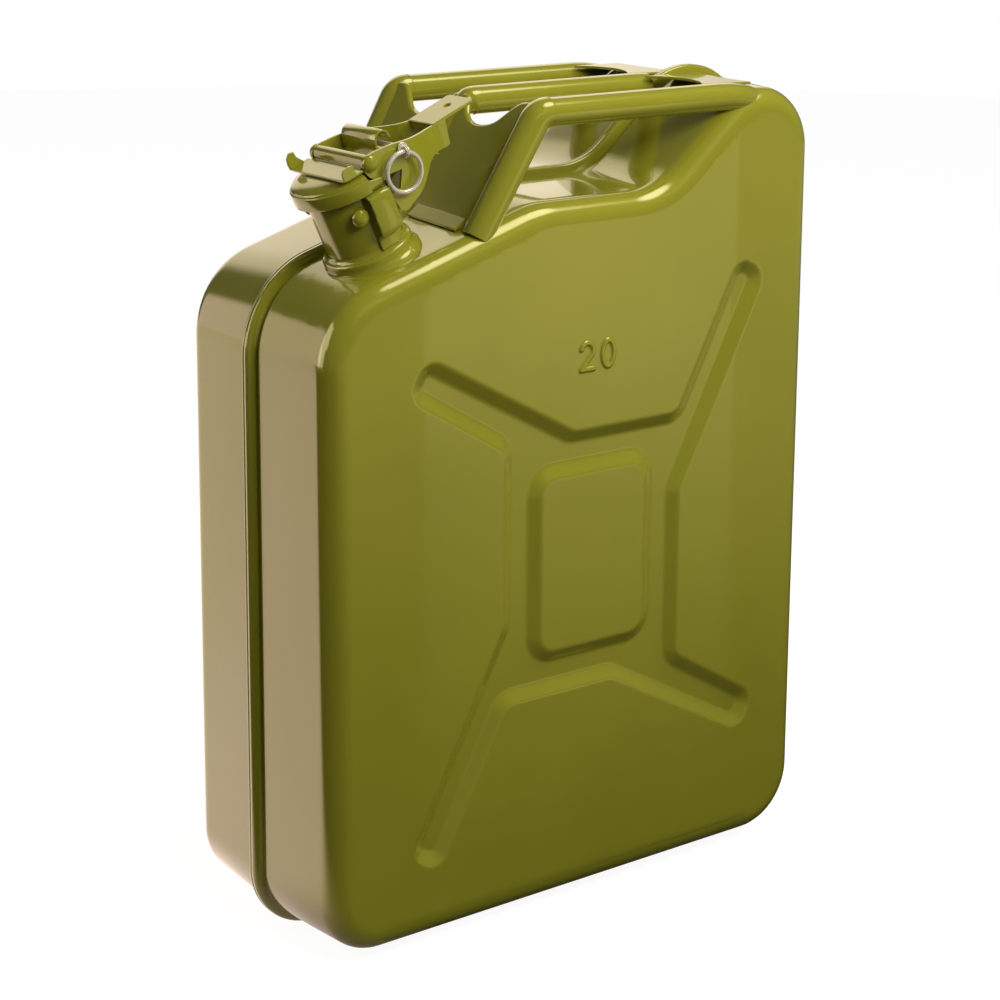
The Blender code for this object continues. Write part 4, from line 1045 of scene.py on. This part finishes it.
plate_edge = [Vector((-across, up)) for across, up in PLATE_OUTLINE[:2]]
plate_edge += flowing([(-across, up) for across, up in PLATE_OUTLINE[2:]], 3)
plate_edge += [Vector((-point.x, point.y)) for point in plate_edge[::-1]]
plate_turn = Matrix((Vector((0.0, 1.0, 0.0)), plate_out, plate_up)).transposed().to_4x4()
plate_root = Vector((LEG_FOOT.x, 0.0, LEG_FOOT.z)) + plate_out * PLATE_FRONT
lip_in, lip_up = CURL_LIP_SHARES
plate_levels = [
    (-PLATE_SHEET, CURL), (-CURL * lip_in, PLATE_SHEET * lip_up), (-CURL, PLATE_SHEET), (-CURL, 0.0)]
for step in range(1, CURL_STEPS + 1):
    angle = math.pi / 2 * step / CURL_STEPS
    plate_levels.append((CURL * (math.sin(angle) - 1.0), CURL * (1.0 - math.cos(angle))))
plate = stacked(plate_edge, plate_levels)[0]
make_piece("handle_plate", plate, "can", ["handle_front"], enamel,
           place=Matrix.Translation(plate_root) @ plate_turn)
flange_way = Vector((-math.cos(SHOULDER_SLOPE), -math.sin(SHOULDER_SLOPE)))
flange_rise = Vector((-math.sin(SHOULDER_SLOPE), math.cos(SHOULDER_SLOPE))) * PLATE_SHEET
flange_end = FLANGE_START + flange_way * FLANGE_WIDE
flange_heel = FLANGE_START + flange_rise * FLANGE_HEEL_SHARE + FLANGE_HEEL
flange_root = FLANGE_START + Vector((FLANGE_HEEL.x, 0.0))
flange_outline = [FLANGE_START, flange_end, flange_end + flange_rise, flange_heel, flange_root]
for side, side_name in ((-1.0, "near"), (1.0, "far")):
    flange = slab(flange_outline, side * FLANGE_SPAN[0], side * FLANGE_SPAN[1])
    for vert in flange.verts:
        vert.co.z -= DRAFT * abs(vert.co.y)
    item = make_piece("handle_flange_" + side_name, flange, "can", [], enamel)
    ease_edges(item, FLANGE_EASE, segments=3, degrees=20.0)

# Flat webs close the rear of the two gaps between the bars. Each has a hollowed front edge, and
# its rear falls a little, onto the hump.
WEB_LEVELS = (0.4664, 0.4680)
WEB_FRONT = (
    (0.0930, 0.0085), (0.0965, 0.0120), (0.1005, 0.0180), (0.1035, 0.0270), (0.1042, 0.0330),
    (0.1035, 0.0390), (0.1005, 0.0480), (0.0965, 0.0540), (0.0930, 0.0575))
WEB_REAR = ((0.1290, 0.0600), (0.1290, 0.0050))
WEB_FALL, WEB_FALL_START = 0.04, 0.110
WEB_EASE = 0.0005
web_outline = flowing(WEB_FRONT) + [Vector(point) for point in WEB_REAR]
for side, side_name in ((-1.0, "near"), (1.0, "far")):
    web = laid_flat(slab(web_outline, *WEB_LEVELS))
    for vert in web.verts:
        vert.co.y *= side
        vert.co.z -= max(0.0, vert.co.x - WEB_FALL_START) * WEB_FALL
    item = make_piece("handle_web_" + side_name, web, "can", ["rear_web_" + side_name], enamel)
    ease_edges(item, WEB_EASE)

# The studio has an overhead softbox, a warm one behind on the left and a weak fill from the
# camera's side. Two of them light the can without showing in its gloss.
AIM_HIGH, AIM_MIDDLE = (0.0, 0.0, 0.38), (0.0, 0.0, 0.25)


def softbox(name, place, target, wide, high, energy, colour=(1.0, 1.0, 1.0)):
    """Hang a rectangular lamp at a place, turned to a target."""
    lamp = bpy.data.lights.new(name, "AREA")
    lamp.shape = "RECTANGLE"
    lamp.size, lamp.size_y = wide, high
    lamp.energy = energy
    lamp.color = colour
    item = bpy.data.objects.new(name, lamp)
    item.location = place
    item.rotation_euler = (Vector(target) - Vector(place)).to_track_quat("-Z", "Y").to_euler()
    bpy.context.scene.collection.objects.link(item)
    return item


overhead = softbox("overhead", (0.62, -0.42, 1.20), AIM_HIGH, wide=0.9, high=0.5, energy=14.0)
softbox("left_back", (-1.5, 0.6, 0.8), AIM_MIDDLE, wide=0.9, high=1.2, energy=7.0, colour=(1.0, 0.90, 0.78))
front_fill = softbox("front_fill", (0.02, -0.80, 0.92), AIM_HIGH, wide=0.8, high=0.3, energy=11.5)
for lamp in (overhead, front_fill):
    lamp.visible_glossy = False

# The room round the can is plain white to the camera. In the gloss it is dim, with a warm sheet on
# the left, a haze behind and a bright key overhead; a pair such as HAZE_EDGES is where one fades in.
WHITE = (1.0, 1.0, 1.0, 1.0)
ROOM = (0.17, 0.17, 0.17, 1.0)
DIM = (0.10, 0.11, 0.07, 1.0)
HAZE = (1.30, 1.12, 0.86, 1.0)
HAZE_WAY, HAZE_EDGES = (0.40, 0.82, 0.40), (0.86, 0.94)
WARM = (1.40, 1.10, 0.94, 1.0)
WARM_WAY, WARM_EDGES = (-0.62, 0.78, 0.0), (0.905, 0.935)
KEY = (4.20, 3.90, 3.30, 1.0)
KEY_WAY, KEY_EDGES = (0.39, -0.32, 0.86), (0.950, 0.978)
world = bpy.data.worlds.new("studio")
bpy.context.scene.world = world
world.use_nodes = True
nodes, links = world.node_tree.nodes, world.node_tree.links
background = nodes["Background"]


def math_node(operation, *values):
    """Add a math node whose inputs are sockets or numbers, and return its output."""
    item = nodes.new("ShaderNodeMath")
    item.operation = operation
    for socket, value in zip(item.inputs, values):
        if isinstance(value, (int, float)):
            socket.default_value = value
        else:
            links.new(value, socket)
    return item.outputs["Value"]


def mixed(factor, low, high):
    """Mix two colours, each a socket or a constant, and return the output."""
    item = nodes.new("ShaderNodeMix")
    item.data_type = "RGBA"
    links.new(factor, item.inputs["Factor"])
    for socket, value in (("A", low), ("B", high)):
        if isinstance(value, tuple):
            item.inputs[socket].default_value = value
        else:
            links.new(value, item.inputs[socket])
    return item.outputs["Result"]


def towards(coordinate, way, start, end):
    """Return how far a coordinate lies along a way, from 0 at start to 1 at end."""
    product = nodes.new("ShaderNodeVectorMath")
    product.operation = "DOT_PRODUCT"
    links.new(coordinate, product.inputs[0])
    product.inputs[1].default_value = way
    fade = nodes.new("ShaderNodeMapRange")
    fade.interpolation_type = "SMOOTHSTEP"
    fade.inputs["From Min"].default_value = start
    fade.inputs["From Max"].default_value = end
    links.new(product.outputs["Value"], fade.inputs["Value"])
    return fade.outputs["Result"]


kind = nodes.new("ShaderNodeLightPath").outputs
around = nodes.new("ShaderNodeTexCoord").outputs["Generated"]
backdrop = mixed(towards(around, HAZE_WAY, *HAZE_EDGES), DIM, HAZE)
backdrop = mixed(towards(around, WARM_WAY, *WARM_EDGES), backdrop, WARM)
backdrop = mixed(towards(around, KEY_WAY, *KEY_EDGES), backdrop, KEY)
shown = math_node("MAXIMUM", kind["Is Camera Ray"], kind["Is Transmission Ray"])
seen = mixed(kind["Is Glossy Ray"], ROOM, backdrop)
links.new(mixed(shown, seen, WHITE), background.inputs["Color"])

# The floor is a sheet of paper that the camera sees as white, with the can's shadow on it. To glossy
# rays it glows with painted light: a warm painted reflection on the left, a painted shadow dark under
# the can, and paler ahead of it.
FLOOR_RADIUS = 4.0
PAPER = (0.22, 0.22, 0.22, 1.0)
PAPER_ROUGHNESS = 0.9
PAPER_GLOW = 0.94
WARM_BACK = (1.20, 0.97, 0.70, 1.0)
# The darkest and the palest glows below are a painted shadow under the can and painted light ahead of it.
PAINTED_SHADOW = (0.02, 0.02, 0.01, 1.0)
GLOW = (0.62, 0.56, 0.36, 1.0)
FRONT_WAY, FRONT_EDGES, TONE_EDGES = (-0.77, -0.64, 0.0), (0.20, 0.32), (-0.10, 0.10)
LEFT_WAY, LEFT_EDGES = (-0.64, 0.77, 0.0), (0.0, 0.20)
AHEAD_WAY, AHEAD_EDGES = (0.60, -0.80, 0.0), (0.05, 1.70)
# A painted band of brighter glow ahead of the can, which the near broad face mirrors as a light stripe.
BAND_WAY, BAND_EDGES = (1.0, 0.673, 0.0), (-0.180, -0.150)
BAND_END_WAY, BAND_END_EDGES = (1.0, 0.960, 0.0), (0.020, 0.060)
BAND_SHARE = 0.55
floor_mesh = bpy.data.meshes.new("floor")
bm = bmesh.new()
bmesh.ops.create_circle(bm, cap_ends=True, segments=64, radius=FLOOR_RADIUS)
bm.to_mesh(floor_mesh)
bm.free()
floor = bpy.data.objects.new("floor", floor_mesh)
bpy.context.scene.collection.objects.link(floor)
floor_paper = bpy.data.materials.new("floor_paper")
floor_paper.use_nodes = True
nodes, links = floor_paper.node_tree.nodes, floor_paper.node_tree.links
paper = nodes["Principled BSDF"]
paper.inputs["Base Color"].default_value = PAPER
paper.inputs["Roughness"].default_value = PAPER_ROUGHNESS
paper.inputs["Specular IOR Level"].default_value = 0.0
paper.inputs["Emission Color"].default_value = WHITE
kind = nodes.new("ShaderNodeLightPath").outputs
links.new(math_node("MULTIPLY", kind["Is Camera Ray"], PAPER_GLOW), paper.inputs["Emission Strength"])
ground = nodes.new("ShaderNodeTexCoord").outputs["Object"]
behind = math_node("SUBTRACT", 1.0, towards(ground, FRONT_WAY, *FRONT_EDGES))
left = math_node("MULTIPLY", towards(ground, LEFT_WAY, *LEFT_EDGES), behind)
warm = mixed(towards(ground, FRONT_WAY, *TONE_EDGES), WARM_BACK, WARM)
painted_band = math_node("MULTIPLY", towards(ground, BAND_WAY, *BAND_EDGES),
                 math_node("SUBTRACT", 1.0, towards(ground, BAND_END_WAY, *BAND_END_EDGES)))
strength = math_node("ADD", 1.0 - BAND_SHARE, math_node("MULTIPLY", painted_band, BAND_SHARE))
lit = math_node("MULTIPLY", towards(ground, AHEAD_WAY, *AHEAD_EDGES), strength)
# Glossy rays see this glow of painted light and painted shadow, not the lit paper.
glow = nodes.new("ShaderNodeEmission")
links.new(mixed(left, mixed(lit, PAINTED_SHADOW, GLOW), warm), glow.inputs["Color"])
mirrored = nodes.new("ShaderNodeMixShader")
links.new(kind["Is Glossy Ray"], mirrored.inputs[0])
links.new(paper.outputs["BSDF"], mirrored.inputs[1])
links.new(glow.outputs["Emission"], mirrored.inputs[2])
links.new(mirrored.outputs["Shader"], nodes["Material Output"].inputs["Surface"])
floor_mesh.materials.append(floor_paper)

# The picture keeps the colours as they are lit.
bpy.context.scene.view_settings.view_transform = "Standard"
